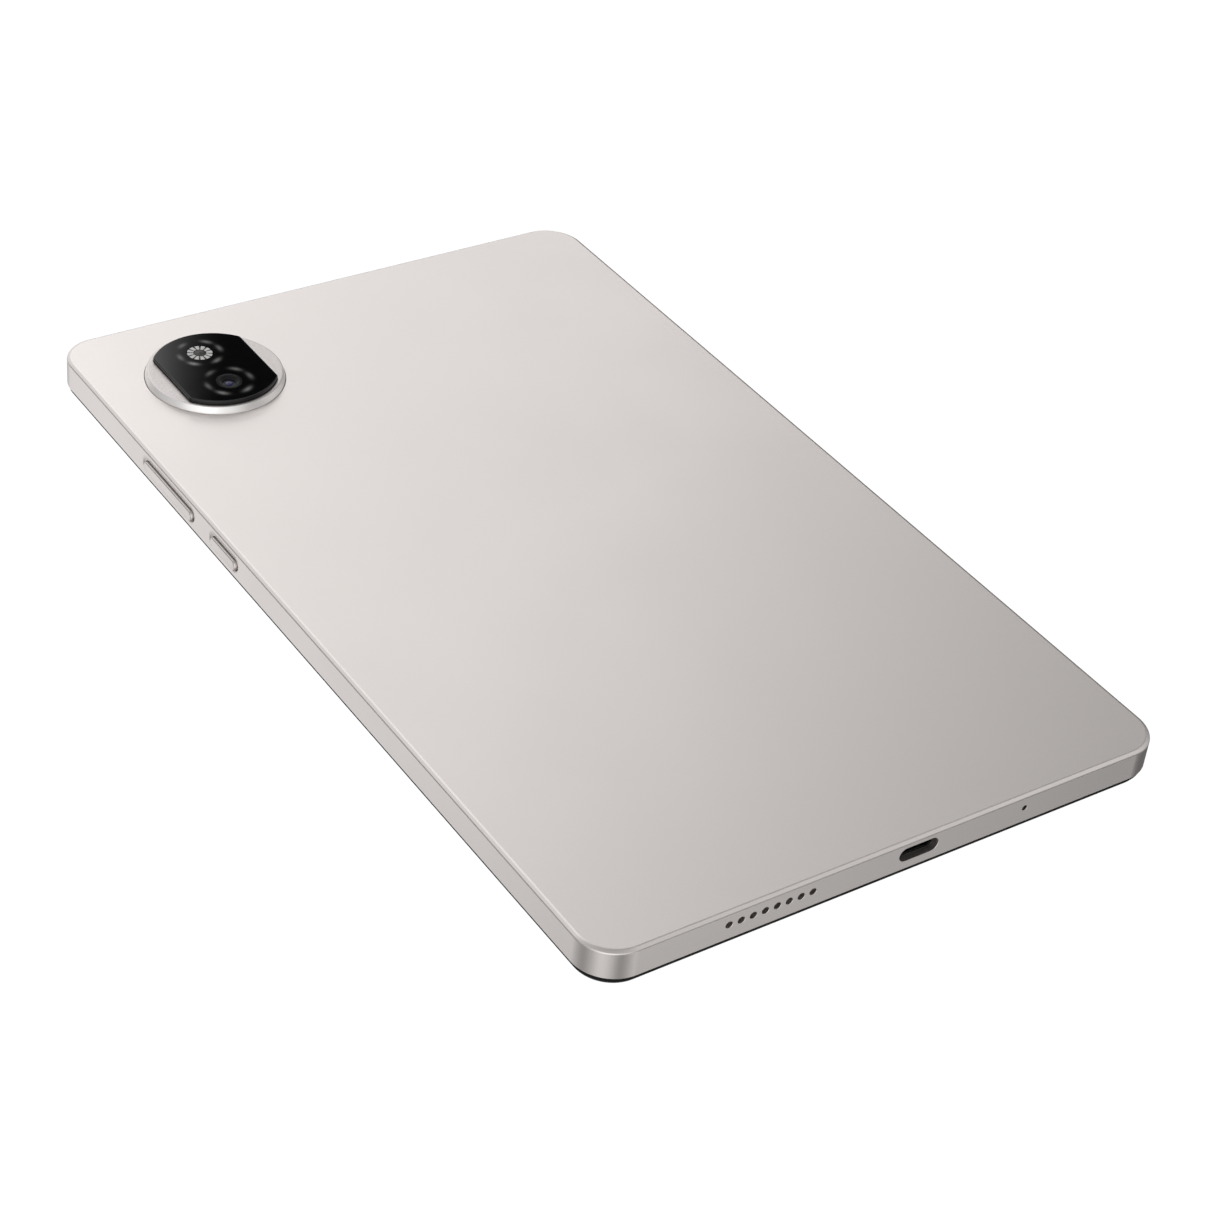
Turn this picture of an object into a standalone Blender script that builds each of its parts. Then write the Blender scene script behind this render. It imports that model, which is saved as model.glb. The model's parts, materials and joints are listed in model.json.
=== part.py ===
"""A small tablet computer, modelled as an assembly of its separate pieces.

Frame: metres, +Z up. The tablet lies on its screen, so +Z leaves the rear cover.
+Y points to the camera end and -X to the long side that has the keys.
The origin is under the middle of the screen glass.
"""

import math

import bmesh
import bpy
from mathutils import Matrix, Vector

MM = 0.001

# Outer shape, in millimetres
WIDTH = 126.0
LENGTH = 208.0
THICK = 8.0
CORNER = 8.0
EDGE_ROUND = 0.8
WALL = 1.5
FLOOR = 0.9
WALL_END_Z = 1.85
SKIRT = 0.3
SKIRT_TOP_Z = 2.1

# Screen side
GLASS_INSET = 0.8
GLASS_THICK = 0.7
GLASS_ROUND = 0.5
BEZEL_INSET = 0.4
BEZEL_Z = (0.8, 2.0)

# Camera island on the rear cover
ISLAND = (-38.0, 79.75)
RING_R = 14.5
RING_TOP_R = 14.1
RING_HOLE_R = 14.6
RING_TOP_Z = 9.5
WINDOW_R = 13.15
WINDOW_HALF_WIDTH = 10.1
WINDOW_CORNER = 1.2
WINDOW_TOP_Z = 10.35
WINDOW_THICK = 1.2
EYE_OFFSET = 6.05
FLASH_SIDESTEP = 0.5
EYE_R = 2.75

# Keys on the -X side: y of the middle, length, height
KEY_Z = 4.4
KEY_HEIGHT = 2.4
KEY_PROUD = 0.35
VOLUME_Y = 51.3
VOLUME_LENGTH = 20.8
POWER_Y = 27.85
POWER_LENGTH = 10.3
KEY_GAP = 0.2

# Ports in the short sides
PORT_X = 4.5
PORT_Z = 5.2
PORT_SIZE = (8.7, 3.0)
GRILLE_X = -36.5
GRILLE_PITCH = 2.53
GRILLE_HOLES = 8
GRILLE_HOLE_R = 0.72
MIC_X = 28.8
MIC_HOLE_R = 0.55

# Levels of the pieces inside, from the screen upwards
PANEL_Z = (0.8, 1.5)
GUIDE_Z = (1.6, 2.0)
TRAY_Z = (2.1, 2.5)
PLATE_Z = (2.65, 3.05)
CELL_Z = (3.4, 6.7)
BOARD_Z = (4.6, 5.4)
SUB_BOARD_Z = (5.7, 6.3)
CEILING_Z = THICK - FLOOR

for old in list(bpy.data.objects):
    bpy.data.objects.remove(old, do_unlink=True)

parts = bpy.data.collections.new("tablet_computer")
helpers = bpy.data.collections.new("cutters")
bpy.context.scene.collection.children.link(parts)
bpy.context.scene.collection.children.link(helpers)

assembly = bpy.data.objects.new("tablet", None)
assembly.empty_display_size = 0.02
parts.objects.link(assembly)


def make_material(name, colour, roughness, metallic=0.0):
    """A Principled material with one colour."""
    mat = bpy.data.materials.new(name)
    mat.use_nodes = True
    shader = mat.node_tree.nodes["Principled BSDF"]
    shader.inputs["Base Color"].default_value = (*colour, 1.0)
    shader.inputs["Roughness"].default_value = roughness
    shader.inputs["Metallic"].default_value = metallic
    mat.diffuse_color = (*colour, 1.0)
    return mat


SILVER = make_material("satin_aluminium", (0.72, 0.70, 0.67), 0.38, 0.9)
BRIGHT = make_material("polished_aluminium", (0.80, 0.79, 0.77), 0.18, 1.0)
STEEL = make_material("stamped_steel", (0.56, 0.57, 0.58), 0.35, 1.0)
BLACK_GLASS = make_material("black_glass", (0.004, 0.004, 0.005), 0.06)
LENS_GLASS = make_material("coated_lens_glass", (0.012, 0.014, 0.035), 0.04)
DIFFUSER = make_material("flash_diffuser", (0.55, 0.55, 0.53), 0.3)
BLACK_PLASTIC = make_material("black_plastic", (0.015, 0.015, 0.016), 0.5)
WHITE_PLASTIC = make_material("white_plastic", (0.75, 0.75, 0.73), 0.5)
SCREEN = make_material("display_layers", (0.02, 0.02, 0.025), 0.25)
POUCH = make_material("battery_pouch", (0.33, 0.33, 0.34), 0.45)
BOARD = make_material("circuit_board", (0.02, 0.09, 0.06), 0.5)
CHIP = make_material("chip_epoxy", (0.03, 0.03, 0.032), 0.6)
FLEX = make_material("flexible_circuit", (0.30, 0.13, 0.03), 0.4)
RUBBER = make_material("soft_rubber", (0.02, 0.02, 0.02), 0.8)
CLOTH = make_material("acoustic_cloth", (0.03, 0.03, 0.03), 0.9)
GRAPHITE = make_material("graphite_sheet", (0.06, 0.06, 0.065), 0.45)
SCREW_STEEL = make_material("screw_steel", (0.45, 0.45, 0.46), 0.3, 1.0)

AXES = {"X": 0, "Y": 1, "Z": 2}


def add_object(name, mesh, mat, origin, smooth=True):
    """Links a mesh as one piece of the tablet, with its origin at a point in millimetres."""
    obj = bpy.data.objects.new(name, mesh)
    parts.objects.link(obj)
    obj.parent = assembly
    obj.location = Vector(origin) * MM
    mesh.materials.append(mat)
    if smooth:
        mesh.shade_smooth()
        mesh.set_sharp_from_angle(angle=math.radians(35))
    return obj


def as_helper(obj):
    """Turns a piece into a cutter or a joined shape that isn't a piece of its own."""
    parts.objects.unlink(obj)
    helpers.objects.link(obj)
    obj.hide_render = True
    obj.display_type = "WIRE"
    return obj


def box_mesh(name, size, corner=0.0, corner_steps=4, rim=0.0, rim_steps=1, axis="Z", rims=(1, -1)):
    """A box whose edges along one axis have a corner radius, and whose ends have a rounded rim."""
    index = AXES[axis]
    bm = bmesh.new()
    bmesh.ops.create_cube(bm, size=1.0)
    bmesh.ops.scale(bm, vec=Vector(size) * MM, verts=bm.verts)
    if corner:
        others = [s for i, s in enumerate(size) if i != index]
        radius = min(corner, 0.49 * min(others)) * MM
        along = [
            e
            for e in bm.edges
            if abs((e.verts[0].co - e.verts[1].co).normalized()[index]) > 0.9
        ]
        bmesh.ops.bevel(
            bm, geom=along, offset=radius, segments=corner_steps, profile=0.5, affect="EDGES"
        )
    if rim:
        for side in rims:
            level = side * size[index] * MM / 2
            loop = [e for e in bm.edges if all(abs(v.co[index] - level) < 1e-7 for v in e.verts)]
            bmesh.ops.bevel(
                bm, geom=loop, offset=rim * MM, segments=rim_steps, profile=0.5, affect="EDGES"
            )
    mesh = bpy.data.meshes.new(name)
    bm.to_mesh(mesh)
    bm.free()
    return mesh


def block(name, mat, x, y, z, origin=None, **shape):
    """A box piece between two values on each axis, in millimetres."""
    size = (x[1] - x[0], y[1] - y[0], z[1] - z[0])
    middle = Vector(((x[0] + x[1]) / 2, (y[0] + y[1]) / 2, (z[0] + z[1]) / 2))
    mesh = box_mesh(name, size, **shape)
    if origin is None:
        return add_object(name, mesh, mat, middle)
    mesh.transform(Matrix.Translation((middle - Vector(origin)) * MM))
    return add_object(name, mesh, mat, origin)


def rod(name, mat, centre, radius, z, steps=24, axis="Z", rim=0.0):
    """A cylinder along an axis, between two values on it, in millimetres."""
    bm = bmesh.new()
    bmesh.ops.create_cone(
        bm,
        cap_ends=True,
        segments=steps,
        radius1=radius * MM,
        radius2=radius * MM,
        depth=(z[1] - z[0]) * MM,
    )
    if rim:
        top = (z[1] - z[0]) * MM / 2
        loop = [e for e in bm.edges if all(abs(v.co.z - top) < 1e-7 for v in e.verts)]
        bmesh.ops.bevel(bm, geom=loop, offset=rim * MM, segments=2, profile=0.5, affect="EDGES")
    middle = (z[0] + z[1]) / 2
    place = [centre[0], centre[1], middle]
    if axis == "X":
        bmesh.ops.rotate(bm, verts=bm.verts, matrix=Matrix.Rotation(math.pi / 2, 3, "Y"))
        place = [middle, centre[0], centre[1]]
    if axis == "Y":
        bmesh.ops.rotate(bm, verts=bm.verts, matrix=Matrix.Rotation(-math.pi / 2, 3, "X"))
        place = [centre[0], middle, centre[1]]
    mesh = bpy.data.meshes.new(name)
    bm.to_mesh(mesh)
    bm.free()
    return add_object(name, mesh, mat, place)


def rods(name, centres, radius, y, steps=12):
    """Parallel cylinders along Y as one cutter; each centre is x and z in millimetres."""
    bm = bmesh.new()
    turn = Matrix.Rotation(-math.pi / 2, 4, "X")
    for x, z in centres:
        place = Matrix.Translation(Vector((x, (y[0] + y[1]) / 2, z)) * MM) @ turn
        bmesh.ops.create_cone(
            bm,
            cap_ends=True,
            segments=steps,
            radius1=radius * MM,
            radius2=radius * MM,
            depth=(y[1] - y[0]) * MM,
            matrix=place,
        )
    mesh = bpy.data.meshes.new(name)
    bm.to_mesh(mesh)
    bm.free()
    return as_helper(add_object(name, mesh, BLACK_PLASTIC, (0, 0, 0)))


def turned(name, mat, centre, profile, steps=48):
    """A turned piece: the profile is (radius, z) in millimetres, down its outer side."""
    bm = bmesh.new()
    points = [bm.verts.new((r * MM, 0.0, z * MM)) for r, z in profile]
    closed = profile[0][0] > 0
    for a, b in zip(points, points[1:]):
        bm.edges.new((a, b))
    if closed:
        bm.edges.new((points[-1], points[0]))
    mesh = bpy.data.meshes.new(name)
    bm.to_mesh(mesh)
    bm.free()
    obj = add_object(name, mesh, mat, (centre[0], centre[1], 0.0), smooth=False)
    screw = obj.modifiers.new("turn", "SCREW")
    screw.steps = steps
    screw.render_steps = steps
    screw.use_merge_vertices = True
    screw.merge_threshold = 0.00001
    screw.use_smooth_shade = True
    return obj


def plate_from_outline(name, mat, points, z, origin=(0.0, 0.0)):
    """A flat piece from a closed outline of (x, y) points in millimetres."""
    curve = bpy.data.curves.new(name, "CURVE")
    curve.dimensions = "2D"
    curve.fill_mode = "BOTH"
    curve.extrude = (z[1] - z[0]) / 2 * MM
    line = curve.splines.new("POLY")
    line.points.add(len(points) - 1)
    for point, (x, y) in zip(line.points, points):
        point.co = (x * MM, y * MM, 0.0, 1.0)
    line.use_cyclic_u = True
    flat = bpy.data.objects.new(name + "_outline", curve)
    parts.objects.link(flat)
    flat.location = Vector((origin[0], origin[1], (z[0] + z[1]) / 2)) * MM
    bpy.context.view_layer.update()
    graph = bpy.context.evaluated_depsgraph_get()
    mesh = bpy.data.meshes.new_from_object(flat.evaluated_get(graph))
    mesh.name = name
    bm = bmesh.new()
    bm.from_mesh(mesh)
    bmesh.ops.remove_doubles(bm, verts=bm.verts, dist=1e-7)
    bmesh.ops.recalc_face_normals(bm, faces=bm.faces)
    bm.to_mesh(mesh)
    bm.free()
    mesh.materials.clear()
    place = flat.matrix_world.copy()
    bpy.data.objects.remove(flat, do_unlink=True)
    obj = add_object(name, mesh, mat, (0, 0, 0))
    obj.matrix_world = place
    return obj


def boolean(obj, other, operation):
    """Adds an exact Boolean with a helper shape."""
    modifier = obj.modifiers.new(other.name, "BOOLEAN")
    modifier.operation = operation
    modifier.solver = "EXACT"
    modifier.object = other
    return obj


def cut(obj, other):
    """Takes a helper shape away from a piece."""
    return boolean(obj, other, "DIFFERENCE")


def join(obj, other):
    """Adds a helper shape to a piece."""
    return boolean(obj, other, "UNION")


def helper_block(name, x, y, z, **shape):
    """A box used only to cut or to be joined."""
    return as_helper(block(name, BLACK_PLASTIC, x, y, z, **shape))


def helper_rod(name, centre, radius, z, **shape):
    """A cylinder used only to cut or to be joined."""
    return as_helper(rod(name, BLACK_PLASTIC, centre, radius, z, **shape))


def centred(middle, length):
    """The two ends of a length about a middle value."""
    return (middle - length / 2, middle + length / 2)


def island_outline(radius, half_width, corner, steps=14, corner_steps=4):
    """A circle with two flats parallel to Y and rounded corners, about (0, 0)."""
    inner = math.sqrt((radius - corner) ** 2 - (half_width - corner) ** 2)
    lean = math.atan2(inner, half_width - corner)
    quarter = []
    for i in range(corner_steps + 1):
        turn = lean * i / corner_steps
        quarter.append(
            (
                half_width - corner + corner * math.cos(turn),
                inner + corner * math.sin(turn),
            )
        )
    for i in range(1, steps):
        turn = lean + (math.pi - 2 * lean) * i / steps
        quarter.append((radius * math.cos(turn), radius * math.sin(turn)))
    for i in range(corner_steps, -1, -1):
        x, y = quarter[i]
        quarter.append((-x, y))
    return quarter + [(-x, -y) for x, y in quarter]


# ---------------------------------------------------------------- rear housing

housing = block(
    "rear_housing",
    SILVER,
    centred(0, WIDTH),
    centred(0, LENGTH),
    (WALL_END_Z, THICK),
    corner=CORNER,
    corner_steps=12,
    rim=EDGE_ROUND,
    rim_steps=4,
    rims=(1,),
)
cut(
    housing,
    helper_block(
        "housing_cavity",
        centred(0, WIDTH - 2 * WALL),
        centred(0, LENGTH - 2 * WALL),
        (WALL_END_Z - 1.0, CEILING_Z),
        corner=CORNER - WALL,
        corner_steps=8,
    ),
)
cut(
    housing,
    helper_block(
        "screen_rebate",
        centred(0, WIDTH - 2 * SKIRT),
        centred(0, LENGTH - 2 * SKIRT),
        (WALL_END_Z - 1.0, SKIRT_TOP_Z),
        corner=CORNER - SKIRT,
        corner_steps=12,
    ),
)
cut(housing, helper_rod("island_hole", ISLAND, RING_HOLE_R, (6.0, 9.0), steps=64))

for label, middle, length in (
    ("volume", VOLUME_Y, VOLUME_LENGTH),
    ("power", POWER_Y, POWER_LENGTH),
):
    cut(
        housing,
        helper_block(
            label + "_key_slot",
            (-WIDTH / 2 - 2.0, -WIDTH / 2 + WALL + 1.0),
            centred(middle, length + 2 * KEY_GAP),
            centred(KEY_Z, KEY_HEIGHT + 2 * KEY_GAP),
            corner=KEY_HEIGHT / 2 + KEY_GAP,
            corner_steps=6,
            axis="X",
        ),
    )

cut(
    housing,
    helper_block(
        "port_cutout",
        centred(PORT_X, PORT_SIZE[0]),
        (-LENGTH / 2 - 2.0, -LENGTH / 2 + WALL + 1.0),
        centred(PORT_Z, PORT_SIZE[1]),
        corner=PORT_SIZE[1] / 2,
        corner_steps=8,
        axis="Y",
    ),
)
grille = [(GRILLE_X + i * GRILLE_PITCH, PORT_Z) for i in range(GRILLE_HOLES)]
far_grille = [(-x, z) for x, z in grille]
near_wall = (-LENGTH / 2 - 1.0, -LENGTH / 2 + WALL + 1.0)
far_wall = (LENGTH / 2 - WALL - 1.0, LENGTH / 2 + 1.0)
cut(housing, rods("near_grille_holes", grille, GRILLE_HOLE_R, near_wall))
cut(housing, rods("far_grille_holes", far_grille, GRILLE_HOLE_R, far_wall))
cut(housing, rods("microphone_hole", [(MIC_X, PORT_Z)], MIC_HOLE_R, near_wall))

# Screw bosses on the inside of the rear cover: x, y, lower end
BOARD_BOSSES = [(-17.0, 47.0), (53.0, 47.0), (18.0, 78.8)]
SUB_BOARD_BOSSES = [(-9.0, -84.0), (44.0, -84.0)]
BRACKET_BOSSES = [(PORT_X - 7.0, -98.5), (PORT_X + 7.0, -98.5)]
bosses = [(x, y, BOARD_Z[1] + 0.1) for x, y in BOARD_BOSSES]
bosses += [(x, y, SUB_BOARD_Z[1] + 0.1) for x, y in SUB_BOARD_BOSSES]
bosses += [(x, y, 4.55) for x, y in BRACKET_BOSSES]
for number, (x, y, low) in enumerate(bosses, 1):
    join(housing, helper_rod(f"boss_{number}", (x, y), 1.7, (low, CEILING_Z + 0.4), steps=16))
    cut(housing, helper_rod(f"boss_bore_{number}", (x, y), 0.75, (low - 0.5, 7.3), steps=12))

# ---------------------------------------------------------------- camera island

ring = turned(
    "camera_ring",
    BRIGHT,
    ISLAND,
    [
        (0.0, RING_TOP_Z),
        (RING_TOP_R - 0.2, RING_TOP_Z),
        (RING_TOP_R - 0.05, RING_TOP_Z - 0.04),
        (RING_TOP_R + 0.05, RING_TOP_Z - 0.15),
        (RING_R - 0.12, THICK + 0.3),
        (RING_R, THICK + 0.1),
        (RING_R, CEILING_Z + 0.1),
        (0.0, CEILING_Z + 0.1),
    ],
    steps=64,
)
window_z = (WINDOW_TOP_Z - WINDOW_THICK, WINDOW_TOP_Z)
cut(
    ring,
    as_helper(
        plate_from_outline(
            "window_pocket",
            BLACK_PLASTIC,
            island_outline(WINDOW_R + 0.1, WINDOW_HALF_WIDTH + 0.1, WINDOW_CORNER + 0.1),
            (window_z[0] - 0.05, WINDOW_TOP_Z + 1.0),
            ISLAND,
        )
    ),
)
lens_at = (ISLAND[0], ISLAND[1] - EYE_OFFSET)
flash_at = (ISLAND[0] - FLASH_SIDESTEP, ISLAND[1] + EYE_OFFSET)
cut(ring, helper_rod("ring_lens_hole", lens_at, 3.6, (6.5, 9.9), steps=32))
cut(ring, helper_rod("ring_flash_hole", flash_at, 3.2, (6.5, 9.9), steps=32))

window = plate_from_outline(
    "camera_window",
    BLACK_GLASS,
    island_outline(WINDOW_R, WINDOW_HALF_WIDTH, WINDOW_CORNER),
    window_z,
    ISLAND,
)
edge = window.modifiers.new("edge", "BEVEL")
edge.width = 0.22 * MM
edge.segments = 2
edge.limit_method = "ANGLE"
edge.angle_limit = math.radians(60)
cut(window, helper_rod("window_lens_hole", lens_at, EYE_R + 0.08, (8.0, 11.0), steps=32))
cut(window, helper_rod("window_flash_hole", flash_at, EYE_R + 0.08, (8.0, 11.0), steps=32))

eye_z = (window_z[0] + 0.15, WINDOW_TOP_Z - 0.02)
rod("lens_cover_glass", LENS_GLASS, lens_at, EYE_R, eye_z, steps=32)
rod("flash_lens", DIFFUSER, flash_at, EYE_R, eye_z, steps=32)

# ---------------------------------------------------------------- rear camera module

can = block(
    "rear_camera_housing",
    STEEL,
    centred(lens_at[0], 9.0),
    centred(lens_at[1], 9.0),
    (4.2, 7.1),
    corner=0.6,
    corner_steps=2,
)
cut(can, helper_rod("camera_can_bore", lens_at, 3.25, (4.9, 7.6), steps=24))
turned(
    "rear_camera_lens",
    BLACK_PLASTIC,
    lens_at,
    [
        (0.0, 8.05),
        (0.9, 8.05),
        (1.5, 8.3),
        (2.2, 8.45),
        (2.8, 8.45),
        (2.95, 8.3),
        (2.95, 5.2),
        (0.0, 5.2),
    ],
    steps=32,
)
block(
    "camera_sensor_board",
    BOARD,
    centred(lens_at[0], 9.6),
    centred(lens_at[1], 9.6),
    (3.6, 4.1),
    corner=0.5,
    corner_steps=2,
)
block("rear_camera_flex", FLEX, (-40.0, -17.0), centred(lens_at[1], 5.0), (3.35, 3.5))
block("flash_led", WHITE_PLASTIC, centred(flash_at[0], 3.4), centred(flash_at[1], 3.4), (7.3, 8.4))

# ---------------------------------------------------------------- side keys


def side_key(name, middle, length, nubs, pivot):
    """A metal key: a rounded face through the wall, a flange that keeps it in, and nubs."""
    face = (-WIDTH / 2 - KEY_PROUD, -WIDTH / 2 + WALL + 0.5)
    key = block(
        name,
        SILVER,
        face,
        centred(middle, length),
        centred(KEY_Z, KEY_HEIGHT),
        origin=pivot,
        corner=KEY_HEIGHT / 2,
        corner_steps=6,
        rim=0.22,
        rim_steps=2,
        axis="X",
        rims=(-1,),
    )
    join(
        key,
        helper_block(
            name + "_flange",
            (-WIDTH / 2 + WALL + 0.35, -WIDTH / 2 + WALL + 0.8),
            centred(middle, length + 1.4),
            centred(KEY_Z, KEY_HEIGHT + 0.9),
            corner=1.2,
            corner_steps=3,
            axis="X",
        ),
    )
    for number, y in enumerate(nubs, 1):
        nub = helper_rod(
            f"{name}_nub_{number}",
            (y, KEY_Z),
            0.7,
            (-WIDTH / 2 + WALL + 0.6, -WIDTH / 2 + WALL + 1.1),
            steps=12,
            axis="X",
        )
        join(key, nub)
    return key


VOLUME_NUBS = (VOLUME_Y - 7.6, VOLUME_Y + 7.6)
side_key("volume_key", VOLUME_Y, VOLUME_LENGTH, VOLUME_NUBS, (-61.0, VOLUME_Y, KEY_Z))
side_key("power_key", POWER_Y, POWER_LENGTH, (POWER_Y,), (-63.0, POWER_Y, KEY_Z))

for label, y in (
    ("volume_up_switch", VOLUME_NUBS[1]),
    ("volume_down_switch", VOLUME_NUBS[0]),
    ("power_switch", POWER_Y),
):
    rod(label, STEEL, (y, KEY_Z), 1.3, (-60.05, -59.6), steps=16, axis="X")
block("side_key_flex", FLEX, (-59.5, -59.35), (20.0, 63.5), centred(KEY_Z, 3.0))
bracket = block("side_key_bracket", STEEL, (-59.25, -58.85), (20.0, 63.5), centred(KEY_Z, 3.4))
join(bracket, helper_block("bracket_tab", (-59.25, -56.6), (39.5, 42.5), (5.75, 6.1)))

# ---------------------------------------------------------------- screen

glass = block(
    "cover_glass",
    BLACK_GLASS,
    centred(0, WIDTH - 2 * GLASS_INSET),
    centred(0, LENGTH - 2 * GLASS_INSET),
    (0.0, GLASS_THICK),
    corner=CORNER - GLASS_INSET,
    corner_steps=10,
    rim=GLASS_ROUND,
    rim_steps=3,
    rims=(-1,),
)
bezel = block(
    "display_bezel",
    BLACK_PLASTIC,
    centred(0, WIDTH - 2 * BEZEL_INSET),
    centred(0, LENGTH - 2 * BEZEL_INSET),
    BEZEL_Z,
    corner=CORNER - BEZEL_INSET,
    corner_steps=10,
    rim=0.25,
    rim_steps=1,
    rims=(-1,),
)
cut(
    bezel,
    helper_block("bezel_opening", centred(0, 119.6), centred(0, 201.6), (0.0, 3.0), corner=3.0),
)
panel_x = centred(0, 119.0)
block("lcd_panel", SCREEN, panel_x, (-100.4, 95.0), PANEL_Z, corner=2.0, corner_steps=3)
block("light_guide", WHITE_PLASTIC, panel_x, (-100.4, 95.0), GUIDE_Z, corner=2.0, corner_steps=3)
tray = block("backlight_tray", STEEL, panel_x, (-100.4, 95.0), TRAY_Z, corner=2.0, corner_steps=3)
plate = block(
    "support_plate",
    STEEL,
    centred(0, 116.8),
    centred(0, 203.0),
    PLATE_Z,
    corner=5.0,
    corner_steps=5,
)
cut(plate, helper_block("front_camera_notch", (-4.5, 4.5), (95.8, 101.0), (2.0, 3.6), corner=1.0))
cut(plate, helper_block("display_flex_slot", (-20.0, 20.0), (-78.6, -76.8), (2.0, 3.6)))
flex = block("display_flex", FLEX, (-18.0, 18.0), (-79.0, -71.0), (3.2, 3.35))
join(flex, helper_block("display_flex_bend", (-18.0, 18.0), (-77.8, -77.6), (2.58, 3.3)))
front = block(
    "front_camera",
    BLACK_PLASTIC,
    (-3.0, 3.0),
    (96.2, 100.3),
    (1.0, 4.2),
    corner=0.5,
    corner_steps=2,
)
cut(front, helper_rod("front_camera_bore", (0.0, 98.2), 1.2, (0.5, 1.8), steps=16))

# ---------------------------------------------------------------- battery

cell_shape = {"corner": 3.0, "corner_steps": 4, "rim": 0.5, "rim_steps": 2}
block("battery_cell_left", POUCH, (-55.5, -1.0), (-66.0, 38.0), CELL_Z, **cell_shape)
block("battery_cell_right", POUCH, (1.0, 55.0), (-66.0, 38.0), CELL_Z, **cell_shape)
block("battery_adhesive", WHITE_PLASTIC, (-50.0, 50.0), (-60.0, 32.0), (6.8, 7.0))
block("battery_protection_board", BOARD, (-24.0, 24.0), (39.0, 42.2), (4.6, 5.4))
block("battery_lead", FLEX, (9.5, 16.5), (39.5, 47.2), (5.5, 5.7))

# ---------------------------------------------------------------- main board

board = block(
    "mainboard",
    BOARD,
    (-20.5, 56.5),
    (42.8, 81.2),
    BOARD_Z,
    corner=1.5,
    corner_steps=3,
)
for number, (x, y) in enumerate(BOARD_BOSSES, 1):
    cut(board, helper_rod(f"board_hole_{number}", (x, y), 1.0, (4.0, 6.0), steps=12))
block("processor", CHIP, (12.0, 26.0), (61.0, 75.0), (5.5, 6.2))
block("memory_chip", CHIP, (28.5, 39.5), (61.5, 73.0), (5.5, 6.3))
shield = block("processor_shield", STEEL, (10.0, 41.5), (59.5, 76.5), (5.5, 6.7), corner=0.6)
cut(shield, helper_block("processor_shield_hollow", (10.3, 41.2), (59.8, 76.2), (5.0, 6.45)))
shield = block("radio_shield", STEEL, (-14.0, 4.0), (58.0, 76.0), (5.5, 6.7), corner=0.6)
cut(shield, helper_block("radio_shield_hollow", (-13.7, 3.7), (58.3, 75.7), (5.0, 6.45)))
block("graphite_sheet", GRAPHITE, (-14.0, 48.0), (52.0, 76.0), (6.85, 7.0))

# ---------------------------------------------------------------- USB-C end

sub_board = block(
    "usb_board",
    BOARD,
    (-13.0, 48.0),
    (-101.5, -80.0),
    SUB_BOARD_Z,
    corner=1.0,
    corner_steps=2,
)
cut(
    sub_board,
    helper_block("usb_board_notch", centred(PORT_X, 19.0), (-103.0, -94.8), (5.0, 7.0)),
)
for number, (x, y) in enumerate(SUB_BOARD_BOSSES, 1):
    cut(sub_board, helper_rod(f"sub_board_hole_{number}", (x, y), 1.0, (5.0, 7.0), steps=12))

port_shape = {"corner": 1.58, "corner_steps": 6, "axis": "Y"}
shell = block(
    "usb_shell",
    STEEL,
    centred(PORT_X, 8.94),
    (-102.35, -95.1),
    centred(PORT_Z, 3.16),
    **port_shape,
)
port_shape["corner"] = 1.28
cut(
    shell,
    helper_block(
        "usb_shell_mouth",
        centred(PORT_X, 8.34),
        (-104.0, -95.6),
        centred(PORT_Z, 2.56),
        **port_shape,
    ),
)
tongue = block(
    "usb_tongue",
    BLACK_PLASTIC,
    centred(PORT_X, 6.69),
    (-101.6, -96.5),
    centred(PORT_Z, 0.7),
)
join(
    tongue,
    helper_block(
        "usb_tongue_base",
        centred(PORT_X, 8.1),
        (-97.2, -95.8),
        centred(PORT_Z, 2.3),
        corner=1.1,
        corner_steps=4,
        axis="Y",
    ),
)
strap = block(
    "usb_bracket",
    STEEL,
    centred(PORT_X, 11.2),
    (-100.5, -96.5),
    (3.25, 3.5),
)
for label, x in (("left", PORT_X - 6.9), ("right", PORT_X + 6.9)):
    side = -1 if label == "left" else 1
    post = PORT_X + side * 5.35
    join(strap, helper_block(f"strap_post_{label}", centred(post, 0.5), (-100.5, -96.5), (3.3, 4.45)))
    join(strap, helper_block(f"strap_foot_{label}", centred(x, 3.6), (-100.5, -96.5), (4.15, 4.45)))
for number, (x, y) in enumerate(BRACKET_BOSSES, 1):
    cut(strap, helper_rod(f"strap_hole_{number}", (x, y), 0.9, (3.8, 4.8), steps=12))

block("microphone", STEEL, centred(MIC_X, 3.2), (-100.9, -98.3), (4.6, 5.6))
gasket = block("microphone_gasket", RUBBER, centred(MIC_X, 2.8), (-102.35, -101.6), (4.2, 6.2))
cut(gasket, rods("gasket_hole", [(MIC_X, PORT_Z)], 0.55, (-103.0, -101.0)))
plate_from_outline(
    "main_flex",
    FLEX,
    [
        (60.5, -90.0),
        (60.5, 56.0),
        (44.0, 56.0),
        (44.0, 51.0),
        (57.0, 51.0),
        (57.0, -86.0),
        (40.0, -86.0),
        (40.0, -90.0),
    ],
    (5.5, 5.65),
)

# ---------------------------------------------------------------- speakers


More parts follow.
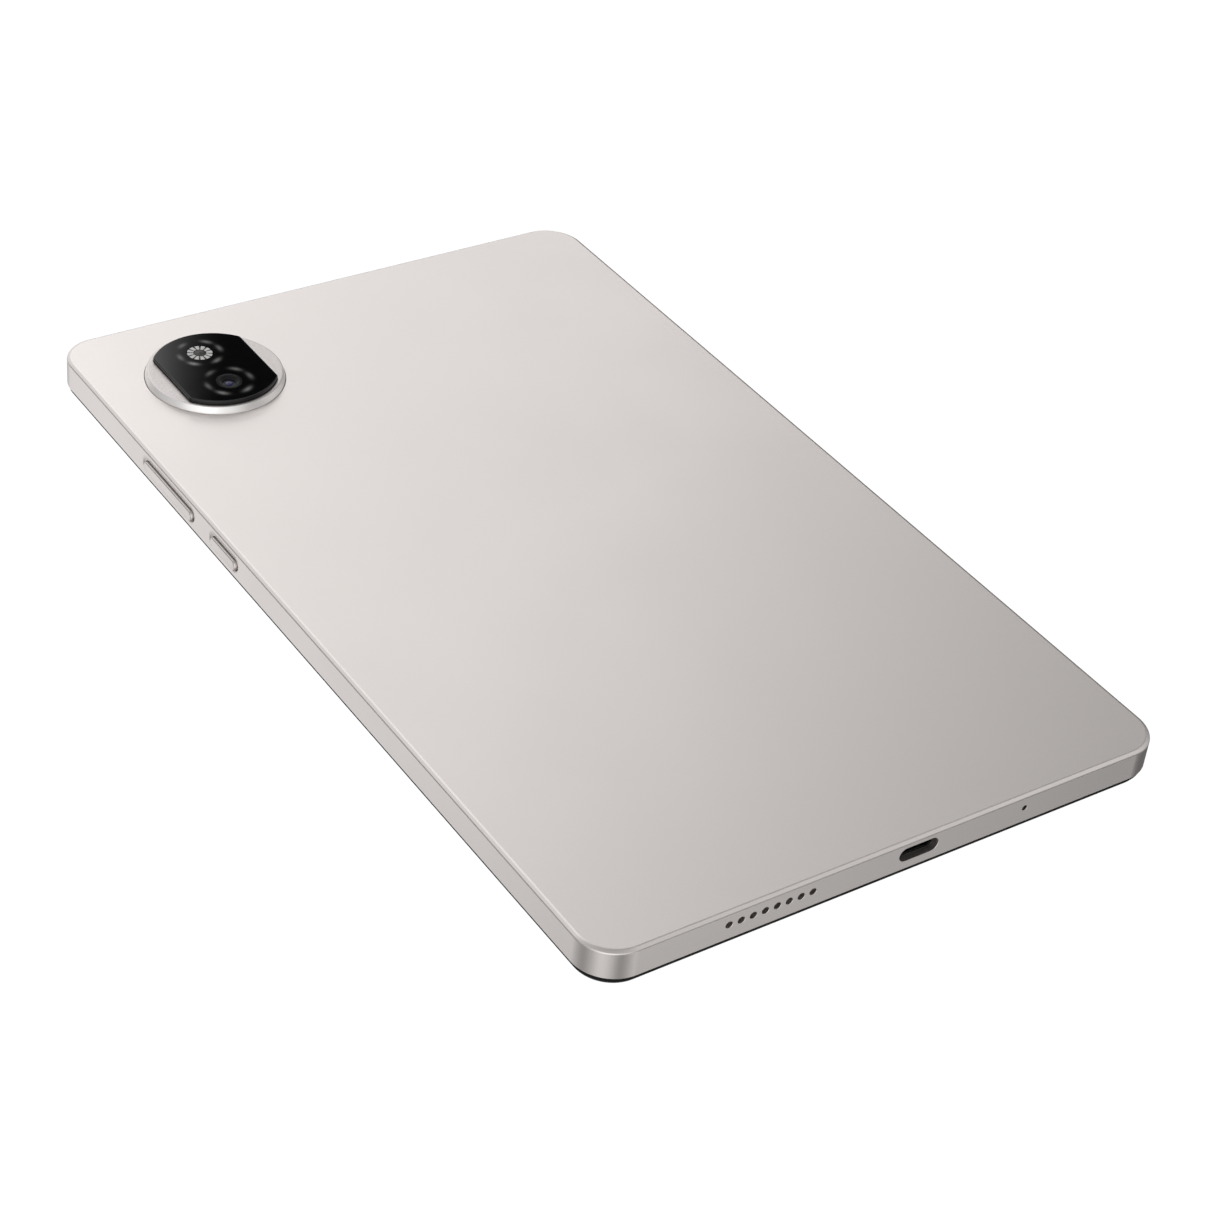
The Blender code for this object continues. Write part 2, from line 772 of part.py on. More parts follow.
def speaker(label, side, x_sign):
    """A sealed speaker box with its mouth at a short side; side is -1 near, 1 far."""

    def xs(a, b):
        return tuple(sorted((x_sign * a, x_sign * b)))

    def ys(a, b):
        return tuple(sorted((side * a, side * b)))

    box = block(
        f"{label}_speaker_box",
        BLACK_PLASTIC,
        xs(14.5, 46.0),
        ys(101.6, 82.0),
        (3.4, 6.9),
        corner=1.5,
        corner_steps=3,
    )
    cut(box, helper_block(f"{label}_driver_pocket", xs(20.0, 36.0), ys(97.5, 84.5), (3.0, 6.2)))
    cut(box, helper_block(f"{label}_mouth", xs(17.6, 37.8), ys(103.0, 96.5), (4.3, 6.1)))
    block(f"{label}_speaker_magnet", STEEL, xs(22.5, 33.5), ys(95.5, 86.5), (5.1, 6.1), corner=0.8)
    block(
        f"{label}_speaker_cone",
        RUBBER,
        xs(20.5, 35.5),
        ys(97.0, 85.0),
        (4.0, 4.5),
        corner=2.0,
        rim=0.2,
    )
    block(f"{label}_speaker_mesh", CLOTH, xs(17.0, 38.5), ys(102.35, 102.1), (4.2, 6.2))


speaker("near", -1, -1)
speaker("far", 1, 1)

# ---------------------------------------------------------------- antennas and screws

block("antenna_left", BLACK_PLASTIC, (-20.0, -5.0), (92.0, 101.5), (3.6, 6.9), corner=0.8)
block("antenna_right", BLACK_PLASTIC, (49.0, 57.0), (88.0, 100.0), (3.6, 6.9), corner=0.8)


def screw(name, place, head_z, length):
    """A small machine screw, its head towards the screen."""
    x, y = place
    return turned(
        name,
        SCREW_STEEL,
        (x, y),
        [
            (0.0, head_z + length),
            (0.5, head_z + length),
            (0.6, head_z + length - 0.15),
            (0.6, head_z),
            (1.4, head_z),
            (1.4, head_z - 0.3),
            (1.25, head_z - 0.4),
            (0.0, head_z - 0.4),
        ],
        steps=12,
    )


for number, place in enumerate(BOARD_BOSSES, 1):
    screw(f"mainboard_screw_{number}", place, BOARD_Z[0] - 0.1, 2.2)
for number, place in enumerate(SUB_BOARD_BOSSES, 1):
    screw(f"usb_board_screw_{number}", place, SUB_BOARD_Z[0] - 0.1, 1.5)
for number, place in enumerate(BRACKET_BOSSES, 1):
    screw(f"usb_bracket_screw_{number}", place, 4.1, 2.4)
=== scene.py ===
"""The looks of a small tablet computer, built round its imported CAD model.

Frame: metres, +Z up. The tablet lies on its screen, so its rear cover faces +Z. +Y points to the
camera end and -X to the long side that has the keys. Lengths below are in millimetres.
"""

import json
import math

import bmesh
import bpy
from mathutils import Euler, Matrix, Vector


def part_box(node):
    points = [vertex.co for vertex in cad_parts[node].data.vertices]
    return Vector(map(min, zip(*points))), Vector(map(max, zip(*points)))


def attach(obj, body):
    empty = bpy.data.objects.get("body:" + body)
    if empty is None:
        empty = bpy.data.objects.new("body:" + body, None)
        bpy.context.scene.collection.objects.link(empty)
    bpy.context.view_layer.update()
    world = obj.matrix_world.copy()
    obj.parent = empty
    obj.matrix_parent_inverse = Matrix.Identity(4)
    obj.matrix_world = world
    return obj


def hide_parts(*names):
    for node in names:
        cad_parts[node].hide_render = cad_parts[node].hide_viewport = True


MM = 0.001

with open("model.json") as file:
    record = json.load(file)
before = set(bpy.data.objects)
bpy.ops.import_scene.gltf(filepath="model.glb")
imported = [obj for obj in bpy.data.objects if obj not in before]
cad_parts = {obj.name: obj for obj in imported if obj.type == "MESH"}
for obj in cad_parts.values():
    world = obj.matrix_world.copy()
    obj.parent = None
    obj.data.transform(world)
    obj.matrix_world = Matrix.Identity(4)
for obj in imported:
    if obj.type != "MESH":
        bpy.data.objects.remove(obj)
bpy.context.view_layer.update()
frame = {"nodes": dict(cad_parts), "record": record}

# ---------------------------------------------------------------- sizes and places


def box_mm(node):
    """The lowest and highest corner of a CAD node, in millimetres."""
    low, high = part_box(node)
    return low / MM, high / MM


def middle_mm(node):
    """The middle of a CAD node, in millimetres."""
    low, high = box_mm(node)
    return (low + high) / 2


BODY = "tablet_body"

shell_low, shell_high = box_mm("rear_housing")
HALF_WIDTH = shell_high.x
HALF_LENGTH = shell_high.y
THICK = shell_high.z
WALL_END = shell_low.z
CORNER = 8.0
WALL = 1.5
COVER = 0.9
CORNER_STEPS = 24

# Edge round the cover: a low chamfer that is rounded into the cover and into the wall
CHAMFER_INSET = 0.74
CHAMFER_DROP = 0.45
COVER_RADIUS = 0.75
WALL_RADIUS = 0.35
LIP_RADIUS = 0.14

# The wall ends in a thin skirt round the screen's frame
SKIRT = 0.3
SKIRT_TOP = 2.1

# Key openings in the -X wall
KEY_GAP = 0.13
KEY_DISH = 0.9
KEY_DISH_DEPTH = 0.28
KEY_DISH_LIFT = 0.75
KEY_FACE_RADIUS = 0.3

# Holes in the short sides
GRILLE_X = -36.5
GRILLE_PITCH = 2.53
GRILLE_HOLES = 8
GRILLE_RADIUS = 0.74
MIC_RADIUS = 0.57
HOLE_CHAMFER = 0.045
PORT_HALF = (4.35, 1.5)

# Camera island
WINDOW_CORNER = 1.2
WINDOW_EDGE = 0.2
EYE_GAP = 0.03
RING_STEPS = 144
EYE_STEPS = 96
OUTLINE_STEPS = (28, 8)

SMOOTH_ANGLE = math.radians(28)


# ---------------------------------------------------------------- mesh building


def rounded_rect(inset, z):
    """A loop round the tablet, moved inwards by the inset, at one height."""
    radius = CORNER - inset
    x, y = HALF_WIDTH - CORNER, HALF_LENGTH - CORNER
    loop = []
    for quarter, (sx, sy) in enumerate(((1, 1), (-1, 1), (-1, -1), (1, -1))):
        for i in range(CORNER_STEPS + 1):
            turn = math.pi / 2 * (quarter + i / CORNER_STEPS)
            loop.append((sx * x + radius * math.cos(turn), sy * y + radius * math.sin(turn), z))
    return loop


def stadium(half_length, half_height, steps):
    """A slot outline with round ends, as (along, up) points about its middle."""
    radius = min(half_length, half_height)
    straight = half_length - radius
    points = []
    for side, start in ((1, -math.pi / 2), (-1, math.pi / 2)):
        for i in range(steps + 1):
            turn = start + math.pi * i / steps
            points.append((side * straight + radius * math.cos(turn), radius * math.sin(turn)))
    return points if straight > 1e-6 else points[: steps + 1] + points[steps + 2 : -1]


def circle(radius, steps):
    """Points round a circle about (0, 0)."""
    turns = [2 * math.pi * i / steps for i in range(steps)]
    return [(radius * math.cos(t), radius * math.sin(t)) for t in turns]


def arc(centre, radius, start, end, steps):
    """Points on an arc; the angles are in degrees."""
    turns = [math.radians(start + (end - start) * i / steps) for i in range(steps + 1)]
    return [(centre[0] + radius * math.cos(t), centre[1] + radius * math.sin(t)) for t in turns]


def loft(name, loops, finishes=None, ring=False):
    """A closed mesh through loops of equal length. finishes gives each strip's material index.

    A ring joins its last loop to its first; otherwise the end loops are filled.
    """
    bm = bmesh.new()
    rows = [[bm.verts.new(Vector(p) * MM) for p in loop] for loop in loops]
    strips = list(zip(rows, rows[1:]))
    if ring:
        strips.append((rows[-1], rows[0]))
    for number, (low, high) in enumerate(strips):
        for i in range(len(low)):
            j = (i + 1) % len(low)
            face = bm.faces.new((low[i], low[j], high[j], high[i]))
            face.material_index = finishes[number] if finishes else 0
    if not ring:
        bm.faces.new(rows[0])
        bm.faces.new(rows[-1])
    bmesh.ops.recalc_face_normals(bm, faces=bm.faces)
    mesh = bpy.data.meshes.new(name)
    bm.to_mesh(mesh)
    bm.free()
    return mesh


def turned(name, centre, profile, steps, finishes=None, ring=False):
    """A turned shape about a vertical axis; the profile is (radius, z)."""
    loops = []
    for radius, z in profile:
        loops.append([(centre[0] + x, centre[1] + y, z) for x, y in circle(radius, steps)])
    return loft(name, loops, finishes, ring)


def on_side(side, along, up, depth):
    """A point given by its place on one side of the tablet and its depth into it."""
    if side == "keys":
        return (-HALF_WIDTH + depth, along, up)
    if side == "near":
        return (along, -HALF_LENGTH + depth, up)
    return (along, HALF_LENGTH - depth, up)


def through_side(name, side, centre, half, profile, steps):
    """A slot-shaped loft into a side; the profile is (outward offset, depth, any lift)."""
    loops = []
    for offset, depth, *lift in profile:
        outline = stadium(half[0] + offset, half[1] + offset, steps)
        level = centre[1] + sum(lift)
        loops.append([on_side(side, centre[0] + a, level + u, depth) for a, u in outline])
    return loft(name, loops)


def merged(name, meshes):
    """One mesh from several, which are then removed."""
    bm = bmesh.new()
    for mesh in meshes:
        bm.from_mesh(mesh)
        bpy.data.meshes.remove(mesh)
    mesh = bpy.data.meshes.new(name)
    bm.to_mesh(mesh)
    bm.free()
    return mesh


def combined(mesh, other, operation):
    """The exact Boolean of two meshes, which are then removed."""
    pair = []
    for data in (mesh, other):
        obj = bpy.data.objects.new(data.name, data)
        bpy.context.scene.collection.objects.link(obj)
        pair.append(obj)
    modifier = pair[0].modifiers.new("combine", "BOOLEAN")
    modifier.operation = operation
    modifier.solver = "EXACT"
    modifier.object = pair[1]
    graph = bpy.context.evaluated_depsgraph_get()
    made = bpy.data.meshes.new_from_object(pair[0].evaluated_get(graph), depsgraph=graph)
    name = mesh.name
    for obj in pair:
        data = obj.data
        bpy.data.objects.remove(obj)
        bpy.data.meshes.remove(data)
    made.name = name
    return made


def piece(name, mesh, materials, body=BODY, stands_for=()):
    """Links a mesh as a finished piece that rides on a body.

    The material slots are emptied first, so each face's finish is kept and given back.
    """
    obj = bpy.data.objects.new(name, mesh)
    mesh.name = name
    bpy.context.scene.collection.objects.link(obj)
    finishes = [face.material_index for face in mesh.polygons]
    mesh.materials.clear()
    for material in materials:
        mesh.materials.append(material)
    for face, finish in zip(mesh.polygons, finishes):
        face.material_index = min(finish, len(materials) - 1)
    mesh.shade_smooth()
    mesh.set_sharp_from_angle(angle=SMOOTH_ANGLE)
    normals = obj.modifiers.new("even_shading", "WEIGHTED_NORMAL")
    normals.keep_sharp = True
    normals.weight = 50
    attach(obj, body)
    if stands_for:
        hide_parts(*stands_for)
    return obj


# ---------------------------------------------------------------- materials


class Nodes:
    """A node material and short ways to add to it."""

    def __init__(self, name):
        self.material = bpy.data.materials.new(name)
        self.material.use_nodes = True
        self.tree = self.material.node_tree
        self.shader = self.tree.nodes["Principled BSDF"]
        self.place = self.tree.nodes.new("ShaderNodeTexCoord").outputs["Object"]

    def link(self, source, target):
        self.tree.links.new(source, target)

    def set(self, **values):
        """Sets sockets of the shader that are the same all over the surface."""
        for name, value in values.items():
            self.shader.inputs[name.replace("_", " ")].default_value = value

    def math(self, operation, a, b=None, clamp=False):
        node = self.tree.nodes.new("ShaderNodeMath")
        node.operation = operation
        node.use_clamp = clamp
        for socket, value in zip(node.inputs, (a, b)):
            if isinstance(value, (int, float)):
                socket.default_value = value
            elif value is not None:
                self.link(value, socket)
        return node.outputs[0]

    def range(self, value, low, high, to_low=0.0, to_high=1.0):
        """Eases a value from one range to another, held at the ends."""
        node = self.tree.nodes.new("ShaderNodeMapRange")
        node.interpolation_type = "SMOOTHSTEP"
        self.link(value, node.inputs["Value"])
        for name, number in (
            ("From Min", low),
            ("From Max", high),
            ("To Min", to_low),
            ("To Max", to_high),
        ):
            node.inputs[name].default_value = number
        return node.outputs["Result"]

    def stretched(self, scale):
        """Object coordinates, scaled apart on each axis."""
        node = self.tree.nodes.new("ShaderNodeMapping")
        self.link(self.place, node.inputs["Vector"])
        node.inputs["Scale"].default_value = scale
        return node.outputs["Vector"]

    def noise(self, size, detail=2.0, vector=None):
        """Noise whose features are about this many millimetres across."""
        node = self.tree.nodes.new("ShaderNodeTexNoise")
        node.inputs["Scale"].default_value = 1.0 / (size * MM)
        node.inputs["Detail"].default_value = detail
        self.link(vector or self.place, node.inputs["Vector"])
        return node.outputs["Fac"]

    def cells(self, size, output="Distance"):
        """Cells about this many millimetres across."""
        node = self.tree.nodes.new("ShaderNodeTexVoronoi")
        node.inputs["Scale"].default_value = 1.0 / (size * MM)
        self.link(self.place, node.inputs["Vector"])
        return node.outputs[output]

    def xyz(self):
        node = self.tree.nodes.new("ShaderNodeSeparateXYZ")
        self.link(self.place, node.inputs[0])
        return node.outputs

    def reach(self, centre):
        """The distance in plan from a point given in millimetres."""
        x, y, _ = self.xyz()
        dx = self.math("SUBTRACT", x, centre[0] * MM)
        dy = self.math("SUBTRACT", y, centre[1] * MM)
        square = self.math("ADD", self.math("POWER", dx, 2), self.math("POWER", dy, 2))
        return self.math("SQRT", square)

    def mix(self, share, a, b):
        """Mixes two colours by a share."""
        node = self.tree.nodes.new("ShaderNodeMix")
        node.data_type = "RGBA"
        self.link(share, node.inputs["Factor"])
        for socket, value in ((node.inputs[6], a), (node.inputs[7], b)):
            if isinstance(value, tuple):
                socket.default_value = (*value, 1.0)
            else:
                self.link(value, socket)
        return node.outputs[2]

    def bump(self, height, depth, strength=1.0):
        """Relief of this many millimetres from a 0 to 1 height."""
        node = self.tree.nodes.new("ShaderNodeBump")
        node.inputs["Strength"].default_value = strength
        node.inputs["Distance"].default_value = depth * MM
        self.link(height, node.inputs["Height"])
        self.link(node.outputs["Normal"], self.shader.inputs["Normal"])

    def colour(self, source):
        self.link(source, self.shader.inputs["Base Color"])

    def roughness(self, source):
        self.link(source, self.shader.inputs["Roughness"])


def grained(name, light, dark, rough, metallic=0.0, grain=0.2, patch=18.0, relief=0.004):
    """A surface with fine grain, soft patches of roughness and a little relief."""
    made = Nodes(name)
    made.set(Metallic=metallic)
    fine = made.noise(grain, 1.5)
    soft = made.noise(patch, 3.0)
    made.colour(made.mix(made.range(fine, 0.3, 0.7), dark, light))
    spread = made.math("ADD", made.math("MULTIPLY", fine, 0.35), made.math("MULTIPLY", soft, 0.65))
    made.roughness(made.range(spread, 0.3, 0.7, rough[0], rough[1]))
    made.bump(fine, relief)
    return made


def tint(colour, factor):
    """A colour made lighter or darker."""
    return tuple(min(1.0, c * factor) for c in colour)


ALUMINIUM = (0.668, 0.630, 0.613)
# Near white: the polished slope's metal with a painted highlight
POLISH_AND_PAINTED_SHEEN = (0.96, 0.945, 0.93)
COPPER = (0.62, 0.30, 0.13)
GOLD = (0.83, 0.60, 0.25)


def satin_metal():
    """Bead-blasted, anodised aluminium."""
    made = grained(
        "satin_aluminium",
        tint(ALUMINIUM, 1.03),
        tint(ALUMINIUM, 0.965),
        (0.33, 0.37),
        metallic=1.0,
        grain=0.16,
        patch=30.0,
        relief=0.0012,
    )
    return made.material


def ring_flat_metal():
    """The flats beside the window, with a fine turned grain."""
    return grained(
        "grained_aluminium",
        tint(ALUMINIUM, 0.87),
        tint(ALUMINIUM, 0.64),
        (0.30, 0.38),
        metallic=1.0,
        grain=0.22,
        patch=6.0,
        relief=0.003,
    ).material


def polish_and_painted_sheen():
    """The fine slope of the camera ring, between a polish and a satin; its pale, half-diffuse
    colour is a painted highlight for the lights it reflects.
    """
    made = Nodes("polished_aluminium")
    made.set(Metallic=0.5)
    fine = made.noise(0.5, 2.0)
    made.colour(made.mix(fine, tint(POLISH_AND_PAINTED_SHEEN, 0.96), POLISH_AND_PAINTED_SHEEN))
    made.roughness(made.range(made.noise(4.0, 3.0), 0.3, 0.7, 0.20, 0.27))
    made.bump(fine, 0.0004)
    return made.material


def key_metal():
    """The keys: the cover's metal with a slightly coarser blast."""
    return grained(
        "key_aluminium",
        tint(ALUMINIUM, 1.0),
        tint(ALUMINIUM, 0.84),
        (0.30, 0.36),
        metallic=1.0,
        grain=0.2,
        patch=8.0,
        relief=0.003,
    ).material


# Width, fall-off and angles of the painted highlight arcs round the eyes
ARC_WIDTH = 0.50
ARC_FALL = 34.0
ARC_ANGLES = (0, 46, 118, 180, 226, 295)


def arcs_round(made, centre, radius, peaks):
    """Soft arcs of painted highlight on a circle about a point, each as strong as its peak at its
    middle.
    """
    x, y, _ = made.xyz()
    dx = made.math("SUBTRACT", x, centre[0] * MM)
    dy = made.math("SUBTRACT", y, centre[1] * MM)
    reach = made.reach(centre)
    off = made.math("DIVIDE", made.math("SUBTRACT", reach, radius * MM), ARC_WIDTH * MM)
    band = made.math("EXPONENT", made.math("MULTIPLY", made.math("MULTIPLY", off, off), -1.0))
    turn = made.math("ARCTAN2", dy, dx)
    total = None
    for angle, peak in zip(ARC_ANGLES, peaks):
        lag = made.math("SUBTRACT", turn, math.radians(angle))
        near = made.math("COSINE", lag)
        glow = made.math("POWER", made.math("MAXIMUM", near, 0.0), ARC_FALL)
        glow = made.math("MULTIPLY", glow, peak)
        total = glow if total is None else made.math("ADD", total, glow)
    return made.math("MULTIPLY", band, total)


def window_glass(eyes):
    """Glossy black glass with a ring of six soft arcs of painted highlight round each eye, standing
    for the studio lights glinting in a ring groove.
    """
    made = Nodes("black_glass")
    made.set(IOR=1.5)
    arc_highlights = None
    for centre, radius, peaks in eyes:
        ring = arcs_round(made, centre, radius, peaks)
        arc_highlights = ring if arc_highlights is None else made.math("ADD", arc_highlights, ring, clamp=True)
    dust = made.noise(2.5, 4.0)
    base = made.mix(dust, (0.0022, 0.0022, 0.0026), (0.0034, 0.0034, 0.0040))
    # Painted highlight: the arcs mix pale grey into the black glass.
    made.colour(made.mix(arc_highlights, base, (0.42, 0.41, 0.40)))
    made.roughness(made.range(made.noise(5.0, 4.0), 0.3, 0.75, 0.02, 0.045))
    return made.material


def lens_surround_metal():
    """The dark stepped well round the lens, with fine turned lines."""
    made = Nodes("lens_well")
    made.set(Specular_IOR_Level=0.09)
    lens = middle_mm("lens_cover_glass")
    reach = made.reach(lens)
    lines = made.math("SINE", made.math("MULTIPLY", reach, 2 * math.pi / (0.12 * MM)))
    lines = made.range(lines, -1.0, 1.0)
    well = made.range(reach, 2.12 * MM, 2.2 * MM, 1.0, 0.0)
    shade = made.mix(lines, (0.004, 0.004, 0.0045), (0.016, 0.016, 0.018))
    made.colour(made.mix(well, (0.003, 0.003, 0.0035), shade))
    rough = made.math("MULTIPLY", well, 0.33)
    made.roughness(made.math("ADD", rough, made.range(made.noise(1.5), 0.3, 0.7, 0.05, 0.1)))
    made.bump(lines, 0.004, 0.5)
    return made.material


def lens_coating():
    """Coated glass that turns from deep blue to violet at its edge."""
    made = Nodes("coated_lens")
    made.set(IOR=1.38)
    facing = made.tree.nodes.new("ShaderNodeLayerWeight")
    facing.inputs["Blend"].default_value = 0.35
    cloud = made.noise(0.8, 2.0)
    deep = made.mix(cloud, (0.006, 0.010, 0.050), (0.010, 0.016, 0.085))
    made.colour(made.mix(facing.outputs["Facing"], deep, (0.030, 0.012, 0.070)))
    made.roughness(made.range(cloud, 0.3, 0.7, 0.02, 0.05))
    return made.material


def flash_plastic():
    """The pale ribs of the flash; below their tops, in the cuts between them and down their sides,
    painted shade makes them near black.
    """
    made = Nodes("flash_plastic")
    made.set(IOR=1.49)
    _, _, z = made.xyz()
    top = box_mm("flash_lens")[1].z
    raised = made.range(z, (top - 0.10) * MM, (top - 0.03) * MM)
    fine = made.noise(0.25, 2.0)
    pale = made.mix(fine, (0.44, 0.43, 0.42), (0.58, 0.57, 0.56))
    # Painted shade: near black below the rib tops, pale on the tops.
    made.colour(made.mix(raised, (0.012, 0.012, 0.012), pale))
    made.roughness(made.range(fine, 0.3, 0.7, 0.22, 0.34))
    made.bump(fine, 0.003)
    return made.material


def dark_gloss():
    """The dark seat under the flash ribs."""
    made = Nodes("dark_gloss")
    made.set(Specular_IOR_Level=0.22)
    cloud = made.noise(0.7, 3.0)
    made.colour(made.mix(cloud, (0.010, 0.010, 0.010), (0.020, 0.019, 0.018)))
    made.roughness(made.range(cloud, 0.3, 0.7, 0.12, 0.28))
    return made.material


def screen_glass():
    """Clear glass over black print, with the dark screen showing inside its border."""
    made = Nodes("screen_glass")
    made.set(IOR=1.5, Coat_Weight=0.3, Coat_Roughness=0.02)
    x, y, _ = made.xyz()
    panel = box_mm("lcd_panel")
    camera = middle_mm("front_camera")
    sides = made.math("ABSOLUTE", x)
    in_x = made.range(sides, (panel[1].x - 0.1) * MM, (panel[1].x + 0.1) * MM, 1.0, 0.0)
    in_top = made.range(y, (panel[1].y - 0.1) * MM, (panel[1].y + 0.1) * MM, 1.0, 0.0)
    in_end = made.range(y, (panel[0].y - 0.1) * MM, (panel[0].y + 0.1) * MM)
    active = made.math("MULTIPLY", made.math("MULTIPLY", in_x, in_top), in_end)
    reach = made.reach(camera)
    eye = made.range(reach, 1.05 * MM, 1.15 * MM, 1.0, 0.0)
    rim = made.range(reach, 1.55 * MM, 1.65 * MM, 1.0, 0.0)
    smear = made.noise(22.0, 4.0)
    border = made.mix(smear, (0.0030, 0.0030, 0.0034), (0.0042, 0.0042, 0.0046))
    lit = made.mix(smear, (0.0075, 0.0078, 0.0098), (0.0098, 0.0102, 0.0130))
    shade = made.mix(active, border, lit)
    shade = made.mix(rim, shade, (0.018, 0.018, 0.020))
    made.colour(made.mix(eye, shade, (0.004, 0.006, 0.022)))
    made.roughness(made.range(smear, 0.35, 0.75, 0.03, 0.09))
    return made.material


def fine_plastic(name, shade, rough, grain=0.25, relief=0.01):
    """Moulded plastic with an eroded texture."""
    made = grained(
        name, tint(shade, 1.25), tint(shade, 0.8), rough, grain=grain, patch=9.0, relief=relief
    )
    return made.material


def rim_elastomer():
    """The matt black seal round the glass."""
    made = grained("rim_seal", (0.006, 0.006, 0.0065), (0.003, 0.003, 0.003), (0.5, 0.65))
    made.set(Specular_IOR_Level=0.14)
    return made.material


def brushed(name, shade, rough, along="y"):
    """Metal sheet with a rolled grain along one axis."""
    made = Nodes(name)
    made.set(Metallic=1.0)
    scale = (1.0, 0.03, 1.0) if along == "y" else (0.03, 1.0, 1.0)
    lines = made.noise(0.12, 3.0, made.stretched(scale))
    cloud = made.noise(7.0, 3.0)
    made.colour(made.mix(lines, tint(shade, 0.82), tint(shade, 1.12)))
    made.roughness(made.range(cloud, 0.3, 0.7, rough[0], rough[1]))
    made.bump(lines, 0.003)
    return made.material


def battery_foil():
    """A laminated pouch: soft creases and a faint pressed grain."""
    made = Nodes("pouch_foil")
    made.set(Metallic=0.55)
    crease = made.noise(9.0, 5.0)
    press = made.cells(0.9)
    made.colour(made.mix(crease, (0.24, 0.24, 0.25), (0.40, 0.40, 0.41)))
    made.roughness(made.range(crease, 0.3, 0.7, 0.36, 0.55))
    height = made.math("ADD", made.math("MULTIPLY", crease, 0.8), made.math("MULTIPLY", press, 0.2))
    made.bump(height, 0.12, 0.6)
    return made.material


def circuit_board():
    """Green solder resist over copper tracks and gold pads."""
    made = Nodes("solder_resist")
    node = made.tree.nodes.new("ShaderNodeTexBrick")
    made.link(made.place, node.inputs["Vector"])
    node.inputs["Scale"].default_value = 1.0 / (2.4 * MM)
    node.inputs["Mortar Size"].default_value = 0.07
    node.inputs["Mortar Smooth"].default_value = 0.2
    tracks = node.outputs["Fac"]
    dots = made.range(made.cells(1.7), 0.17, 0.22, 1.0, 0.0)
    cloud = made.noise(5.0, 3.0)
    resist = made.mix(cloud, (0.010, 0.058, 0.036), (0.018, 0.088, 0.052))
    shade = made.mix(tracks, resist, (0.030, 0.140, 0.070))
    made.colour(made.mix(dots, shade, GOLD))
    made.link(made.math("MULTIPLY", dots, 0.9), made.shader.inputs["Metallic"])
    made.roughness(made.range(cloud, 0.3, 0.7, 0.30, 0.42))
    made.bump(made.math("ADD", tracks, dots, clamp=True), 0.03)
    return made.material


def flex_film():
    """Amber film with copper tracks showing through."""
    made = Nodes("flex_film")
    x, y, _ = made.xyz()
    across = made.math("ADD", x, y)
    lines = made.math("SINE", made.math("MULTIPLY", across, 2 * math.pi / (0.7 * MM)))
    tracks = made.range(lines, 0.1, 0.5)
    cloud = made.noise(3.0, 3.0)
    film = made.mix(cloud, (0.26, 0.10, 0.018), (0.34, 0.15, 0.03))
    made.colour(made.mix(tracks, film, COPPER))
    made.link(made.math("MULTIPLY", tracks, 0.6), made.shader.inputs["Metallic"])
    made.roughness(made.range(cloud, 0.3, 0.7, 0.28, 0.42))
    made.bump(tracks, 0.02)
    return made.material


def woven_cloth():
    """Fine acoustic mesh with threads both ways."""
    made = Nodes("acoustic_mesh")
    x, _, z = made.xyz()
    step = 2 * math.pi / (0.16 * MM)
    weave = made.math(
        "MULTIPLY",
        made.math("SINE", made.math("MULTIPLY", x, step)),
        made.math("SINE", made.math("MULTIPLY", z, step)),
    )
    threads = made.range(weave, -1.0, 1.0)
    made.colour(made.mix(threads, (0.07, 0.064, 0.058), (0.30, 0.28, 0.26)))
    made.roughness(made.range(made.noise(0.5), 0.3, 0.7, 0.7, 0.9))
    made.bump(threads, 0.04)
    return made.material


def graphite_film():
    """Pressed graphite with fine flakes."""
    made = Nodes("graphite_film")
    made.set(Metallic=0.3)
    flakes = made.cells(0.8, output="Color")
    cloud = made.noise(10.0, 4.0)
    shine = made.math("MULTIPLY", flakes, 0.6)
    made.colour(made.mix(shine, (0.035, 0.035, 0.04), (0.11, 0.11, 0.12)))
    made.roughness(made.range(cloud, 0.3, 0.7, 0.38, 0.55))
    made.bump(cloud, 0.02)
    return made.material


def gold_contacts():
    """Plated contacts with light wear."""
    made = Nodes("gold_plate")
    made.set(Metallic=1.0)
    rub = made.noise(0.4, 4.0)
    made.colour(made.mix(rub, tint(GOLD, 0.8), GOLD))
    made.roughness(made.range(rub, 0.3, 0.7, 0.16, 0.32))
    made.bump(rub, 0.002)
    return made.material


SATIN = satin_metal()
RING_FLAT = ring_flat_metal()
RING_SLOPE = polish_and_painted_sheen()
KEY = key_metal()
SCREEN = screen_glass()
PLASTIC = fine_plastic("black_plastic", (0.014, 0.014, 0.015), (0.42, 0.56))
RIM = rim_elastomer()

